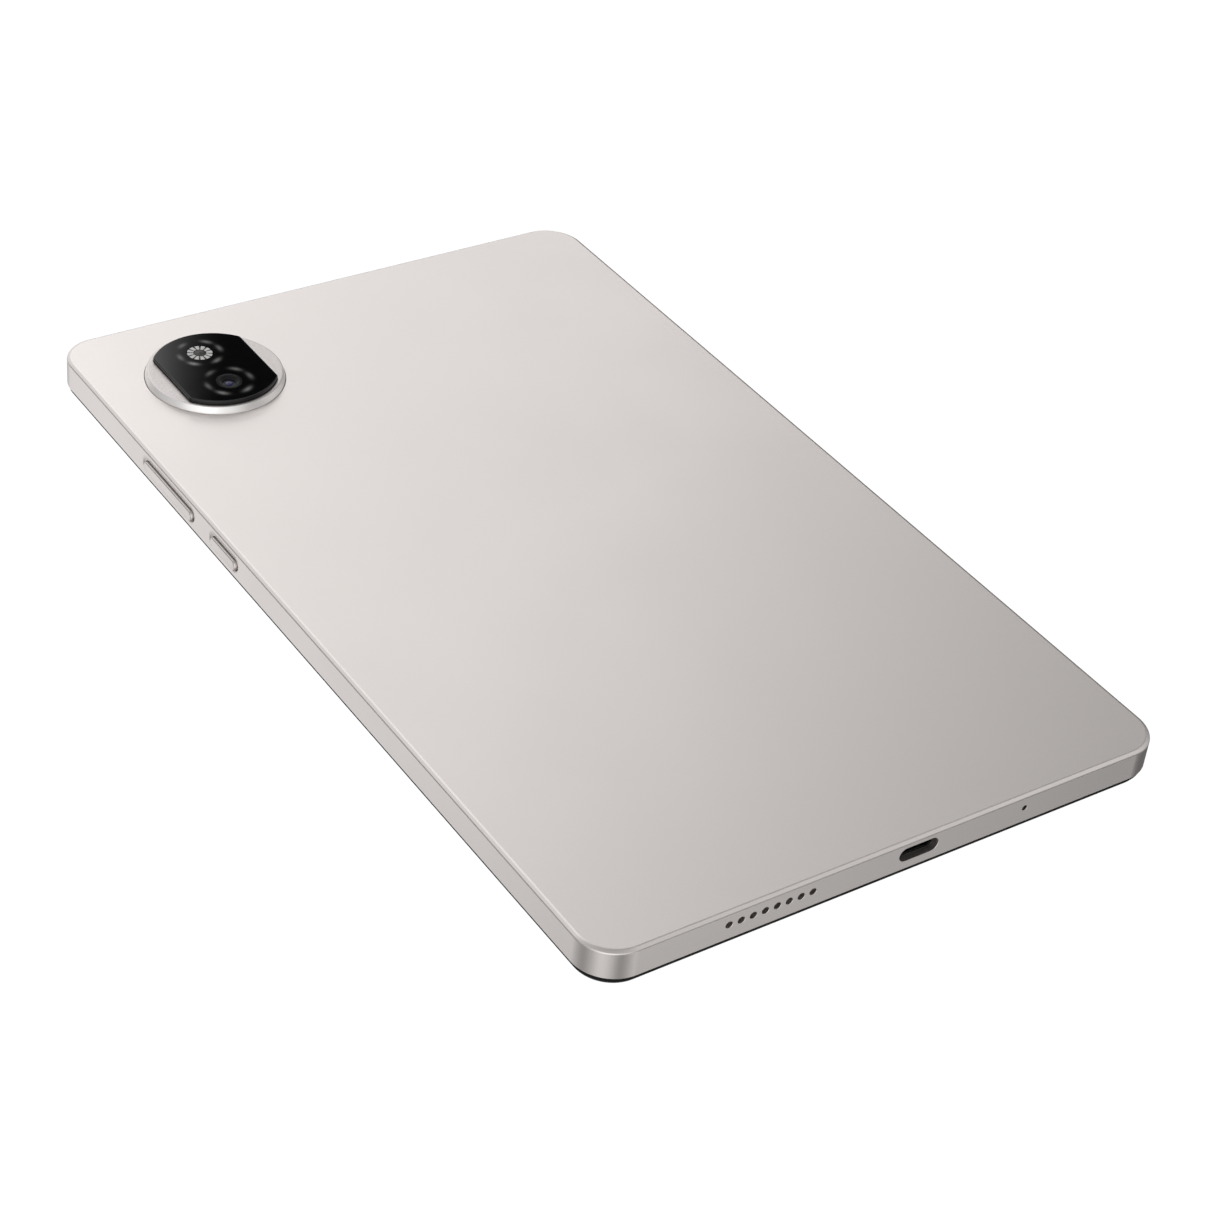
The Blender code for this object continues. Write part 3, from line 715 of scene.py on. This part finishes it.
SLOT_MATERIALS = {
    "housing_metal": SATIN,
    "ring_metal": RING_SLOPE,
    "key_metal": KEY,
    "flash_diffuser": flash_plastic(),
    "cover_glass": SCREEN,
    "display_glass": fine_plastic("display_layers", (0.02, 0.02, 0.025), (0.18, 0.3), relief=0.001),
    "light_guide": fine_plastic("light_guide_film", (0.62, 0.62, 0.60), (0.3, 0.45), relief=0.004),
    "tray_metal": brushed("tray_sheet", (0.56, 0.57, 0.58), (0.3, 0.42), along="x"),
    "stamped_steel": brushed("stamped_steel", (0.52, 0.53, 0.54), (0.26, 0.38)),
    "port_steel": brushed("port_steel", (0.12, 0.12, 0.12), (0.3, 0.4)),
    "screw_steel": brushed("screw_steel", (0.42, 0.42, 0.43), (0.22, 0.34), along="x"),
    "battery_pouch": battery_foil(),
    "black_plastic": PLASTIC,
    "white_plastic": fine_plastic("white_plastic", (0.62, 0.62, 0.60), (0.42, 0.55)),
    "circuit_board": circuit_board(),
    "chip_epoxy": fine_plastic("chip_epoxy", (0.028, 0.028, 0.030), (0.5, 0.65), grain=0.12),
    "flex_circuit": flex_film(),
    "graphite": graphite_film(),
    "soft_rubber": fine_plastic("soft_rubber", (0.018, 0.018, 0.018), (0.7, 0.85), relief=0.006),
    "acoustic_cloth": woven_cloth(),
}

for row in frame["record"]["subparts"]:
    node = frame["nodes"][row["node"]]
    for material_slot in node.material_slots:
        material_slot.link = "OBJECT"
        material_slot.material = SLOT_MATERIALS.get(row["material_slot"], PLASTIC)

# ---------------------------------------------------------------- rear housing


def chamfer_profile():
    """(inset, z) up the outside of the housing, from its lip to the flat of the cover."""
    slope = math.degrees(math.atan2(CHAMFER_DROP, CHAMFER_INSET))
    lip = arc((LIP_RADIUS, WALL_END + LIP_RADIUS), LIP_RADIUS, 270, 180, 4)
    low_reach = WALL_RADIUS * math.tan(math.radians((90 - slope) / 2))
    low_centre = (WALL_RADIUS, THICK - CHAMFER_DROP - low_reach)
    low = arc(low_centre, WALL_RADIUS, 180, 90 + slope, 7)
    high_reach = COVER_RADIUS * math.tan(math.radians(slope / 2))
    high_centre = (CHAMFER_INSET + high_reach, THICK - COVER_RADIUS)
    high = arc(high_centre, COVER_RADIUS, 90 + slope, 90, 5)
    return lip + low + high


inside = [(WALL, SKIRT_TOP), (SKIRT, SKIRT_TOP), (SKIRT, WALL_END)]
housing_loops = [rounded_rect(WALL, THICK - COVER)]
housing_loops += [rounded_rect(inset, z) for inset, z in inside + chamfer_profile()]
housing = loft("housing_shell", housing_loops)

ring_low, ring_high = box_mm("camera_ring")
island = (ring_low + ring_high) / 2
RING_R = (ring_high.x - ring_low.x) / 2
island_hole = turned(
    "island_hole",
    island,
    [(RING_R + 0.1, THICK - 3.0), (RING_R + 0.1, THICK - 0.06), (RING_R + 0.3, THICK + 0.14)],
    RING_STEPS,
)
cutters = [island_hole]

# A key slot's mouth is a shallow scoop, mostly above the key, that rolls over into the slot
reach = KEY_DISH + 0.16
key_mouth = [(KEY_GAP + reach, -0.1, KEY_DISH_LIFT * reach)]
for i in range(11):
    share = i / 10
    reach = KEY_DISH * (1 - share)
    ease = share * share * (1.5 - 0.5 * share)
    key_mouth.append((KEY_GAP + reach, KEY_DISH_DEPTH * ease, KEY_DISH_LIFT * reach))
key_mouth.append((KEY_GAP, KEY_DISH_DEPTH + 0.1))
key_mouth.append((KEY_GAP, WALL + 0.6))


def key_half(node):
    """The middle of a key on its wall and half its length; its height is the face's."""
    low, high = box_mm(node)
    return ((low.y + high.y) / 2, (low.z + high.z) / 2), (high.y - low.y) / 2


KEY_HALF_HEIGHT = 1.2
FLANGE_REACH = 0.7
key_places = {}
for node_name in ("volume_key", "power_key"):
    centre, half_length = key_half(node_name)
    key_places[node_name] = (centre, (half_length - FLANGE_REACH, KEY_HALF_HEIGHT))
    cutters.append(
        through_side(node_name + "_slot", "keys", *key_places[node_name], key_mouth, steps=16)
    )

port = middle_mm("usb_shell")
grille_z = middle_mm("near_speaker_mesh").z
mic = middle_mm("microphone_gasket")


def hole(name, side, x, z, half):
    """A cutter for a hole with a fine chamfer at the surface."""
    mouth = [(HOLE_CHAMFER + 0.4, -0.4), (0.0, HOLE_CHAMFER), (0.0, WALL + 0.6)]
    return through_side(name, side, (x, z), half, mouth, steps=12)


cutters.append(hole("port_hole", "near", port.x, port.z, PORT_HALF))
cutters.append(hole("mic_hole", "near", mic.x, mic.z, (MIC_RADIUS, MIC_RADIUS)))
for number in range(GRILLE_HOLES):
    x = GRILLE_X + number * GRILLE_PITCH
    radius = (GRILLE_RADIUS, GRILLE_RADIUS)
    cutters.append(hole(f"near_hole_{number}", "near", x, grille_z, radius))
    cutters.append(hole(f"far_hole_{number}", "far", -x, grille_z, radius))

housing = combined(housing, merged("openings", cutters), "DIFFERENCE")

# Screw bosses under the cover, one above each screw
bosses = []
bores = []
for node_name in sorted(frame["nodes"]):
    if "_screw_" in node_name:
        low, high = box_mm(node_name)
        place = (low + high) / 2
        foot = low.z + 1.1 if "bracket" not in node_name else low.z + 0.85
        bosses.append(
            turned("boss", place, [(1.55, foot), (1.7, foot + 0.15), (1.7, THICK - 0.5)], 24)
        )
        bores.append(turned("bore", place, [(0.72, foot - 1.0), (0.72, high.z + 0.15)], 20))
housing = combined(housing, merged("bosses", bosses), "UNION")
housing = combined(housing, merged("bores", bores), "DIFFERENCE")
piece("housing_shell", housing, [SATIN], stands_for=["rear_housing"])

# ---------------------------------------------------------------- side keys


def key_piece(name, node_name, body, nub_places):
    """A key: a crowned face, its sides through the wall, a flange and nubs for the switches."""
    low, high = box_mm(node_name)
    centre, half = key_places[node_name]
    proud = -HALF_WIDTH - low.x
    profile = [(-0.9, -proud), (-KEY_FACE_RADIUS, -proud)]
    for turn in (20, 40, 60, 80, 90):
        swing = math.radians(turn)
        profile.append(
            (
                -KEY_FACE_RADIUS * (1 - math.sin(swing)),
                -proud + KEY_FACE_RADIUS * (1 - math.cos(swing)),
            )
        )
    inner = high.x + HALF_WIDTH - 0.3
    profile += [(0.0, inner - 0.45), (FLANGE_REACH - 0.25, inner - 0.45)]
    profile += [(FLANGE_REACH - 0.25, inner)]
    mesh = through_side(name, "keys", centre, half, profile, steps=16)
    nubs = []
    for place in nub_places:
        nub = [(0.0, inner - 0.2), (0.0, inner + 0.2), (-0.1, inner + 0.3)]
        nubs.append(through_side("nub", "keys", (place, centre[1]), (0.7, 0.7), nub, steps=10))
    mesh = combined(mesh, merged("nubs", nubs), "UNION")
    return piece(name, mesh, [KEY], body=body, stands_for=[node_name])


volume_nubs = [middle_mm("volume_down_switch").y, middle_mm("volume_up_switch").y]
key_piece("volume_key_cap", "volume_key", "volume_rocker", volume_nubs)
key_piece("power_key_cap", "power_key", "power_button", [middle_mm("power_switch").y])

# ---------------------------------------------------------------- camera island


def island_outline(radius, half_width, corner):
    """A circle with two flats parallel to Y and rounded corners, about (0, 0)."""
    steps, corner_steps = OUTLINE_STEPS
    inner = math.sqrt((radius - corner) ** 2 - (half_width - corner) ** 2)
    lean = math.atan2(inner, half_width - corner)
    quarter = []
    for i in range(corner_steps + 1):
        turn = lean * i / corner_steps
        quarter.append(
            (half_width - corner + corner * math.cos(turn), inner + corner * math.sin(turn))
        )
    for i in range(1, steps):
        turn = lean + (math.pi - 2 * lean) * i / steps
        quarter.append((radius * math.cos(turn), radius * math.sin(turn)))
    quarter += [(-x, y) for x, y in quarter[corner_steps::-1]]
    return quarter + [(-x, -y) for x, y in quarter]


def island_loop(inset, z):
    """The window's outline, moved inwards, at one height."""
    points = island_outline(WINDOW_R - inset, WINDOW_HALF - inset, WINDOW_CORNER - inset)
    return [(island.x + x, island.y + y, z) for x, y in points]


window_low, window_high = box_mm("camera_window")
WINDOW_R = (window_high.y - window_low.y) / 2
WINDOW_HALF = (window_high.x - window_low.x) / 2

ring_top = ring_high.z
SLOPE_IN, SLOPE_OUT = 0.47, 0.04
slope_points = [
    (RING_R, ring_low.z),
    (RING_R, THICK + 0.03),
    (RING_R - 0.01, THICK + 0.16),
    (RING_R - SLOPE_OUT, THICK + 0.26),
    (RING_R - SLOPE_IN + 0.06, ring_top - 0.14),
    (RING_R - SLOPE_IN, ring_top - 0.06),
]
flat_points = [
    (RING_R - SLOPE_IN - 0.1, ring_top - 0.015),
    (RING_R - 0.85, ring_top),
    (RING_R - 0.95, ring_top),
    (RING_R - 4.0, ring_top),
]
ring_profile = slope_points + flat_points
ring_finishes = [1] * (len(slope_points) - 1) + [0] * len(flat_points)
ring = turned("camera_ring_trim", island, ring_profile, RING_STEPS, ring_finishes)
ring.polygons[-1].material_index = 0
pocket = loft(
    "window_pocket",
    [island_loop(-0.08, window_low.z - 0.04), island_loop(-0.08, ring_top - 0.05)]
    + [island_loop(-0.28, ring_top + 0.15)],
)
eye_names = {"lens": "lens_cover_glass", "flash": "flash_lens"}
eyes = {label: middle_mm(node_name) for label, node_name in eye_names.items()}
ring = combined(ring, pocket, "DIFFERENCE")
WELL_HEIGHTS = (6.5, 9.9)
wells = [
    turned(label + "_well", eyes[label], [(radius, z) for z in WELL_HEIGHTS], 48)
    for label, radius in (("lens", 3.6), ("flash", 3.2))
]
ring = combined(ring, merged("wells", wells), "DIFFERENCE")
piece(
    "camera_ring_trim", ring, [RING_FLAT, RING_SLOPE], stands_for=["camera_ring"]
)

eye_low, eye_high = box_mm("lens_cover_glass")
EYE_R = (eye_high.x - eye_low.x) / 2
glass_loops = [island_loop(0.0, window_low.z), island_loop(0.0, window_high.z - WINDOW_EDGE)]
for turn in (22, 45, 68, 90):
    swing = math.radians(turn)
    glass_loops.append(
        island_loop(
            WINDOW_EDGE * (1 - math.cos(swing)),
            window_high.z - WINDOW_EDGE * (1 - math.sin(swing)),
        )
    )
window = loft("window_plate", glass_loops)
openings = [
    turned("eye_hole", eyes[label], [(EYE_R + EYE_GAP, z) for z in (8.0, 11.0)], EYE_STEPS)
    for label in ("lens", "flash")
]
window = combined(window, merged("eye_holes", openings), "DIFFERENCE")
# Each eye gets a ring of painted highlight arcs: its radius and each arc's strength
BLACK_GLASS = window_glass(
    (
        (eyes["flash"], 4.5, (0.34, 0.40, 0.30, 0.34, 0.62, 0.42)),
        (eyes["lens"], 4.8, (0.30, 0.36, 0.26, 0.30, 0.52, 0.44)),
    )
)
piece("window_plate", window, [BLACK_GLASS], stands_for=["camera_window"])

# The lens: a stepped well flush with the window, and the front element that moves to focus
well_profile = [
    (EYE_R, eye_low.z),
    (EYE_R, eye_high.z - 0.04),
    (EYE_R - 0.04, eye_high.z),
    (2.16, eye_high.z),
    (2.12, eye_high.z - 0.05),
    (1.98, eye_high.z - 0.07),
    (1.95, eye_high.z - 0.15),
    (1.80, eye_high.z - 0.17),
    (1.77, eye_high.z - 0.25),
    (1.60, eye_high.z - 0.27),
    (1.57, eye_high.z - 0.35),
    (1.36, eye_high.z - 0.38),
    (1.34, eye_low.z),
]
well = turned("lens_surround", eyes["lens"], well_profile, EYE_STEPS, ring=True)
piece(
    "lens_surround", well, [lens_surround_metal()], stands_for=["lens_cover_glass"]
)

lens_low, lens_high = box_mm("rear_camera_lens")
lens_axis = (lens_low + lens_high) / 2
LENS_R = (lens_high.x - lens_low.x) / 2
NOSE_TOP = eye_low.z + 0.39
barrel_profile = [
    (LENS_R - 0.1, lens_low.z),
    (LENS_R, lens_low.z + 0.1),
    (LENS_R, lens_high.z - 0.15),
    (LENS_R - 0.15, lens_high.z),
    (1.24, lens_high.z),
    (1.24, NOSE_TOP - 0.06),
    (1.18, NOSE_TOP),
    (0.98, NOSE_TOP),
    (0.95, NOSE_TOP - 0.1),
]
barrel = turned("lens_barrel", lens_axis, barrel_profile, 64)
piece("lens_barrel", barrel, [PLASTIC], "focus_lens", ["rear_camera_lens"])
DOME_R = 0.93
DOME_RISE = 0.26
DOME_STEPS = 13
dome_foot = NOSE_TOP - 0.05
dome_profile = [(DOME_R, dome_foot - 0.04), (DOME_R, dome_foot)]
for i in range(1, DOME_STEPS):
    swing = math.pi / 2 * i / DOME_STEPS
    dome_profile.append((DOME_R * math.cos(swing), dome_foot + DOME_RISE * math.sin(swing)))
dome = turned("lens_element", lens_axis, dome_profile, 64)
piece("lens_element", dome, [lens_coating()], "focus_lens")

# The flash: a dark seat, a small lens over the lamp, and a ring of straight ribs
flash_low, flash_high = box_mm("flash_lens")
seat_profile = [
    (EYE_R, flash_low.z),
    (EYE_R, flash_high.z - 0.04),
    (EYE_R - 0.03, flash_high.z),
    (2.70, flash_high.z),
    (2.69, flash_low.z + 0.4),
    (1.29, flash_low.z + 0.4),
    (1.28, flash_high.z - 0.12),
    (1.22, flash_high.z - 0.08),
    (0.90, flash_high.z - 0.07),
    (0.45, flash_high.z - 0.04),
    (0.10, flash_high.z - 0.03),
]
seat = turned("flash_seat", eyes["flash"], seat_profile, EYE_STEPS)
piece("flash_seat", seat, [dark_gloss()], stands_for=["flash_lens"])

RIBS = 12
RIB_STEPS = 12
RIB_CUT = 0.16
RIB_EDGE = 0.012


def rib_drop(index):
    """How far the top lies below its highest level at a step round the ring."""
    place = index % RIB_STEPS
    if place in (0, 1, 2):
        return RIB_CUT
    return RIB_EDGE if place in (3, RIB_STEPS - 1) else 0.0


def ribbed_ring(name, centre, profile):
    """A ring whose upper points follow the ribs; the profile is (radius, z, follows)."""
    steps = RIBS * RIB_STEPS
    loops = []
    for radius, z, follows in profile:
        loop = []
        for i, (x, y) in enumerate(circle(radius, steps)):
            loop.append((centre.x + x, centre.y + y, z - follows * rib_drop(i)))
        loops.append(loop)
    return loft(name, loops, ring=True)


rib_top = flash_high.z - 0.01
rib_profile = [
    (2.66, flash_low.z + 0.41, 0),
    (2.66, rib_top - 0.04, 1),
    (2.62, rib_top, 1),
    (1.38, rib_top, 1),
    (1.34, rib_top - 0.04, 1),
    (1.34, flash_low.z + 0.41, 0),
]
ribs = ribbed_ring("flash_ribs", eyes["flash"], rib_profile)
piece("flash_ribs", ribs, [SLOT_MATERIALS["flash_diffuser"]])

# ---------------------------------------------------------------- screen side

glass_low, glass_high = box_mm("cover_glass")
glass_inset = HALF_WIDTH - glass_high.x
GLASS_EDGE = 0.5
glass_profile = [(glass_inset + GLASS_EDGE + 1.2, glass_low.z)]
glass_profile += [
    (glass_inset + inset, z)
    for inset, z in arc((GLASS_EDGE, glass_low.z + GLASS_EDGE), GLASS_EDGE, 270, 180, 8)
]
glass_profile += [(glass_inset, glass_high.z - 0.06), (glass_inset + 0.06, glass_high.z)]
glass = loft("screen_glass", [rounded_rect(inset, z) for inset, z in glass_profile])
piece("screen_glass", glass, [SCREEN], stands_for=["cover_glass"])

rim_low, rim_high = box_mm("display_bezel")
rim_inset = HALF_WIDTH - rim_high.x
inner_rim = HALF_WIDTH - box_mm("lcd_panel")[1].x - 0.3
rim_profile = [(inner_rim, rim_high.z), (inner_rim, rim_low.z)]
rim_profile += [
    (rim_inset + inset, z) for inset, z in arc((0.25, rim_low.z + 0.25), 0.25, 270, 180, 4)
]
rim_profile += [(rim_inset, rim_high.z - 0.05), (rim_inset + 0.05, rim_high.z)]
rim = loft("rim_gasket", [rounded_rect(inset, z) for inset, z in rim_profile], ring=True)
piece("rim_gasket", rim, [RIM], stands_for=["display_bezel"])

# ---------------------------------------------------------------- port contacts

tongue_low = box_mm("usb_tongue")[0]
CONTACTS = 12
CONTACT_PITCH = 0.5
CONTACT_HALF = 0.13
TONGUE_HALF_THICK = 0.35
pads = []
for face in (-1, 1):
    for number in range(CONTACTS):
        x = port.x + (number - (CONTACTS - 1) / 2) * CONTACT_PITCH
        level = port.z + face * TONGUE_HALF_THICK
        loops = []
        for inset, rise in ((0.0, -0.02), (0.0, 0.02), (0.03, 0.04)):
            half = CONTACT_HALF - inset
            near, far = tongue_low.y + 0.15 + inset, tongue_low.y + 3.2 - inset
            z = level + face * rise
            loops.append([(x - half, near, z), (x + half, near, z), (x + half, far, z)])
            loops[-1].append((x - half, far, z))
        pads.append(loft("pad", loops))
piece("port_contacts", merged("port_contacts", pads), [gold_contacts()])

# ---------------------------------------------------------------- camera

camera_data = bpy.data.cameras.new("camera")
camera = bpy.data.objects.new("camera", camera_data)
bpy.context.scene.collection.objects.link(camera)
bpy.context.scene.camera = camera

CAMERA_AT = Vector((-278.91, -376.10, 339.07))
AZIMUTH = -37.495
ELEVATION = 36.674
ROLL = 6.741
FOCAL_LENGTH = 86.54
SENSOR_WIDTH = 36.0


def aimed(azimuth, elevation, roll):
    """A camera's rotation: azimuth 0 looks along +Y, and roll turns it about its view."""
    turn = Euler((math.radians(90 - elevation), 0.0, math.radians(azimuth)), "XYZ").to_matrix()
    return turn @ Euler((0.0, 0.0, math.radians(roll)), "XYZ").to_matrix()


camera.location = CAMERA_AT * MM
camera.rotation_mode = "QUATERNION"
camera.rotation_quaternion = aimed(AZIMUTH, ELEVATION, ROLL).to_quaternion()
camera_data.sensor_width = SENSOR_WIDTH
camera_data.lens = FOCAL_LENGTH
camera_data.clip_start = 0.01
camera_data.clip_end = 100.0

# ---------------------------------------------------------------- floor and light


FLOOR_REACH = 30000.0
FLOOR_OPENING = (50.0, 92.0)
FLOOR_Z = -0.3
WHITE_LEVEL = 1.03


def floor_mesh():
    """A wide floor with an opening hidden under the tablet, so that its screen can be lit."""
    bm = bmesh.new()
    corners = ((-1, -1), (1, -1), (1, 1), (-1, 1))
    rows = []
    for half_x, half_y in ((FLOOR_REACH, FLOOR_REACH), FLOOR_OPENING):
        row = [Vector((sx * half_x, sy * half_y, FLOOR_Z)) * MM for sx, sy in corners]
        rows.append([bm.verts.new(point) for point in row])
    for i in range(4):
        j = (i + 1) % 4
        bm.faces.new((rows[0][i], rows[0][j], rows[1][j], rows[1][i]))
    mesh = bpy.data.meshes.new("floor")
    bm.to_mesh(mesh)
    bm.free()
    return mesh


def floor_material():
    """An even white sweep lit from below, seen only from above."""
    made = Nodes("white_sweep")
    nodes = made.tree.nodes
    glow = nodes.new("ShaderNodeEmission")
    glow.inputs["Strength"].default_value = WHITE_LEVEL
    cloud = made.noise(400.0, 2.0)
    made.link(made.mix(cloud, (0.995, 0.995, 0.995), (1.0, 1.0, 1.0)), glow.inputs["Color"])
    clear = nodes.new("ShaderNodeBsdfTransparent")
    path = nodes.new("ShaderNodeLightPath")
    side = nodes.new("ShaderNodeNewGeometry")
    above = made.math("SUBTRACT", 1.0, side.outputs["Backfacing"])
    shown = made.math("MULTIPLY", path.outputs["Is Camera Ray"], above)
    mixed = nodes.new("ShaderNodeMixShader")
    made.link(shown, mixed.inputs["Fac"])
    made.link(clear.outputs[0], mixed.inputs[1])
    made.link(glow.outputs[0], mixed.inputs[2])
    made.link(mixed.outputs[0], nodes["Material Output"].inputs["Surface"])
    nodes.remove(made.shader)
    return made.material


floor = bpy.data.objects.new("floor", floor_mesh())
bpy.context.scene.collection.objects.link(floor)
floor.data.materials.append(floor_material())

# Brightness of the studio round the tablet. Each band is a height in degrees and the levels at
# angles from +X towards +Y; in between it is blended.
LIGHT_BANDS = (
    (-55, ((0, 0.30), (120, 0.42), (220, 0.40), (320, 0.30))),
    (
        -36,
        (
            (0, 0.12),
            (50, 0.10),
            (85, 0.38),
            (118, 1.34),
            (132, 1.08),
            (149, 0.66),
            (169, 0.12),
            (190, 0.58),
            (215, 1.34),
            (236, 0.92),
            (260, 0.05),
            (283, 0.66),
            (297, 1.28),
            (309, 0.98),
            (324, 0.12),
            (342, 0.10),
        ),
    ),
    (
        -4,
        (
            (10, 0.35),
            (38, 0.06),
            (62, 0.30),
            (85, 1.10),
            (112, 0.75),
            (135, 0.22),
            (180, 0.45),
            (212, 1.40),
            (234, 1.90),
            (264, 0.90),
            (302, 0.05),
            (345, 0.55),
        ),
    ),
    (
        30,
        (
            (5, 0.70),
            (32, 0.40),
            (46, 0.80),
            (57, 1.94),
            (67, 2.02),
            (80, 1.42),
            (95, 1.15),
            (112, 1.00),
            (132, 0.40),
            (180, 0.70),
            (205, 1.10),
            (222, 1.40),
            (255, 1.20),
            (285, 0.95),
            (310, 0.35),
            (340, 0.80),
        ),
    ),
    (
        50,
        (
            (25, 0.12),
            (45, 0.55),
            (65, 1.10),
            (86, 1.75),
            (112, 1.45),
            (150, 0.60),
            (220, 0.80),
            (300, 0.72),
            (345, 1.15),
        ),
    ),
    (80, ((90, 0.45), (270, 0.40))),
)
TOP_LEVEL = 2.5
DARK_STRIP = {"turn": (55.0, 65.4), "height": (27.0, 37.0), "soft": (1.5, 3.8), "level": 0.01}


def build_world():
    """Plain soft studio light: broad panels round the tablet under a dim ceiling."""
    world = bpy.data.worlds.new("studio")
    bpy.context.scene.world = world
    world.use_nodes = True
    tree = world.node_tree
    nodes = tree.nodes
    background = nodes["Background"]

    def calc(operation, a, b=None):
        node = nodes.new("ShaderNodeMath")
        node.operation = operation
        for socket, value in zip(node.inputs, (a, b)):
            if isinstance(value, (int, float)):
                socket.default_value = value
            elif value is not None:
                tree.links.new(value, socket)
        return node.outputs[0]

    def ramp(levels):
        """Levels all round the room, as shares of the top level."""
        node = nodes.new("ShaderNodeValToRGB")
        node.color_ramp.interpolation = "EASE"
        tree.links.new(turn, node.inputs["Fac"])
        first, last = levels[0], levels[-1]
        gap = (first[0] + 360 - last[0]) or 1
        seam = last[1] + (first[1] - last[1]) * (360 - last[0]) / gap
        stops = [(0, seam)] + [stop for stop in levels if 0 < stop[0] < 360] + [(360, seam)]
        elements = node.color_ramp.elements
        elements[0].position, elements[1].position = 0.0, 1.0
        for angle, _ in stops[1:-1]:
            elements.new(angle / 360)
        for element, (_, level) in zip(elements, stops):
            element.color = (level / TOP_LEVEL, level / TOP_LEVEL, level / TOP_LEVEL, 1.0)
        return node.outputs["Color"]

    def blend(value, low, high, a, b):
        share = nodes.new("ShaderNodeMapRange")
        share.interpolation_type = "SMOOTHSTEP"
        tree.links.new(value, share.inputs["Value"])
        share.inputs["From Min"].default_value = low
        share.inputs["From Max"].default_value = high
        mixed = nodes.new("ShaderNodeMix")
        tree.links.new(share.outputs["Result"], mixed.inputs["Factor"])
        for socket, source in ((mixed.inputs[2], a), (mixed.inputs[3], b)):
            if isinstance(source, (int, float)):
                socket.default_value = source
            else:
                tree.links.new(source, socket)
        return mixed.outputs[0]

    direction = nodes.new("ShaderNodeTexCoord").outputs["Generated"]
    parts = nodes.new("ShaderNodeSeparateXYZ")
    tree.links.new(direction, parts.inputs[0])
    turn = calc("ARCTAN2", parts.outputs["Y"], parts.outputs["X"])
    turn = calc("FRACT", calc("ADD", calc("DIVIDE", turn, 2 * math.pi), 1.0))
    degrees = calc("MULTIPLY", turn, 360.0)
    height = calc("MULTIPLY", calc("ARCSINE", parts.outputs["Z"]), 180 / math.pi)
    level = None
    for below, (band_height, levels) in zip((None,) + LIGHT_BANDS, LIGHT_BANDS):
        band = ramp(levels)
        level = band if level is None else blend(height, below[0], band_height, level, band)
    level = calc("MULTIPLY", level, TOP_LEVEL)
    strip = 1.0
    for value, (start, end) in ((degrees, DARK_STRIP["turn"]), (height, DARK_STRIP["height"])):
        rise, fall = DARK_STRIP["soft"]
        strip = calc("MULTIPLY", strip, blend(value, start, start + rise, 0.0, 1.0))
        strip = calc("MULTIPLY", strip, blend(value, end - fall, end, 1.0, 0.0))
    level = blend(strip, 0.0, 1.0, level, DARK_STRIP["level"])
    seen = nodes.new("ShaderNodeLightPath").outputs["Is Camera Ray"]
    mixed = nodes.new("ShaderNodeMix")
    tree.links.new(seen, mixed.inputs["Factor"])
    tree.links.new(level, mixed.inputs[2])
    mixed.inputs[3].default_value = WHITE_LEVEL
    tree.links.new(mixed.outputs[0], background.inputs["Strength"])
    background.inputs["Color"].default_value = (1.0, 1.0, 1.0, 1.0)


build_world()

scene = bpy.context.scene
scene.view_settings.view_transform = "Standard"
scene.view_settings.look = "None"
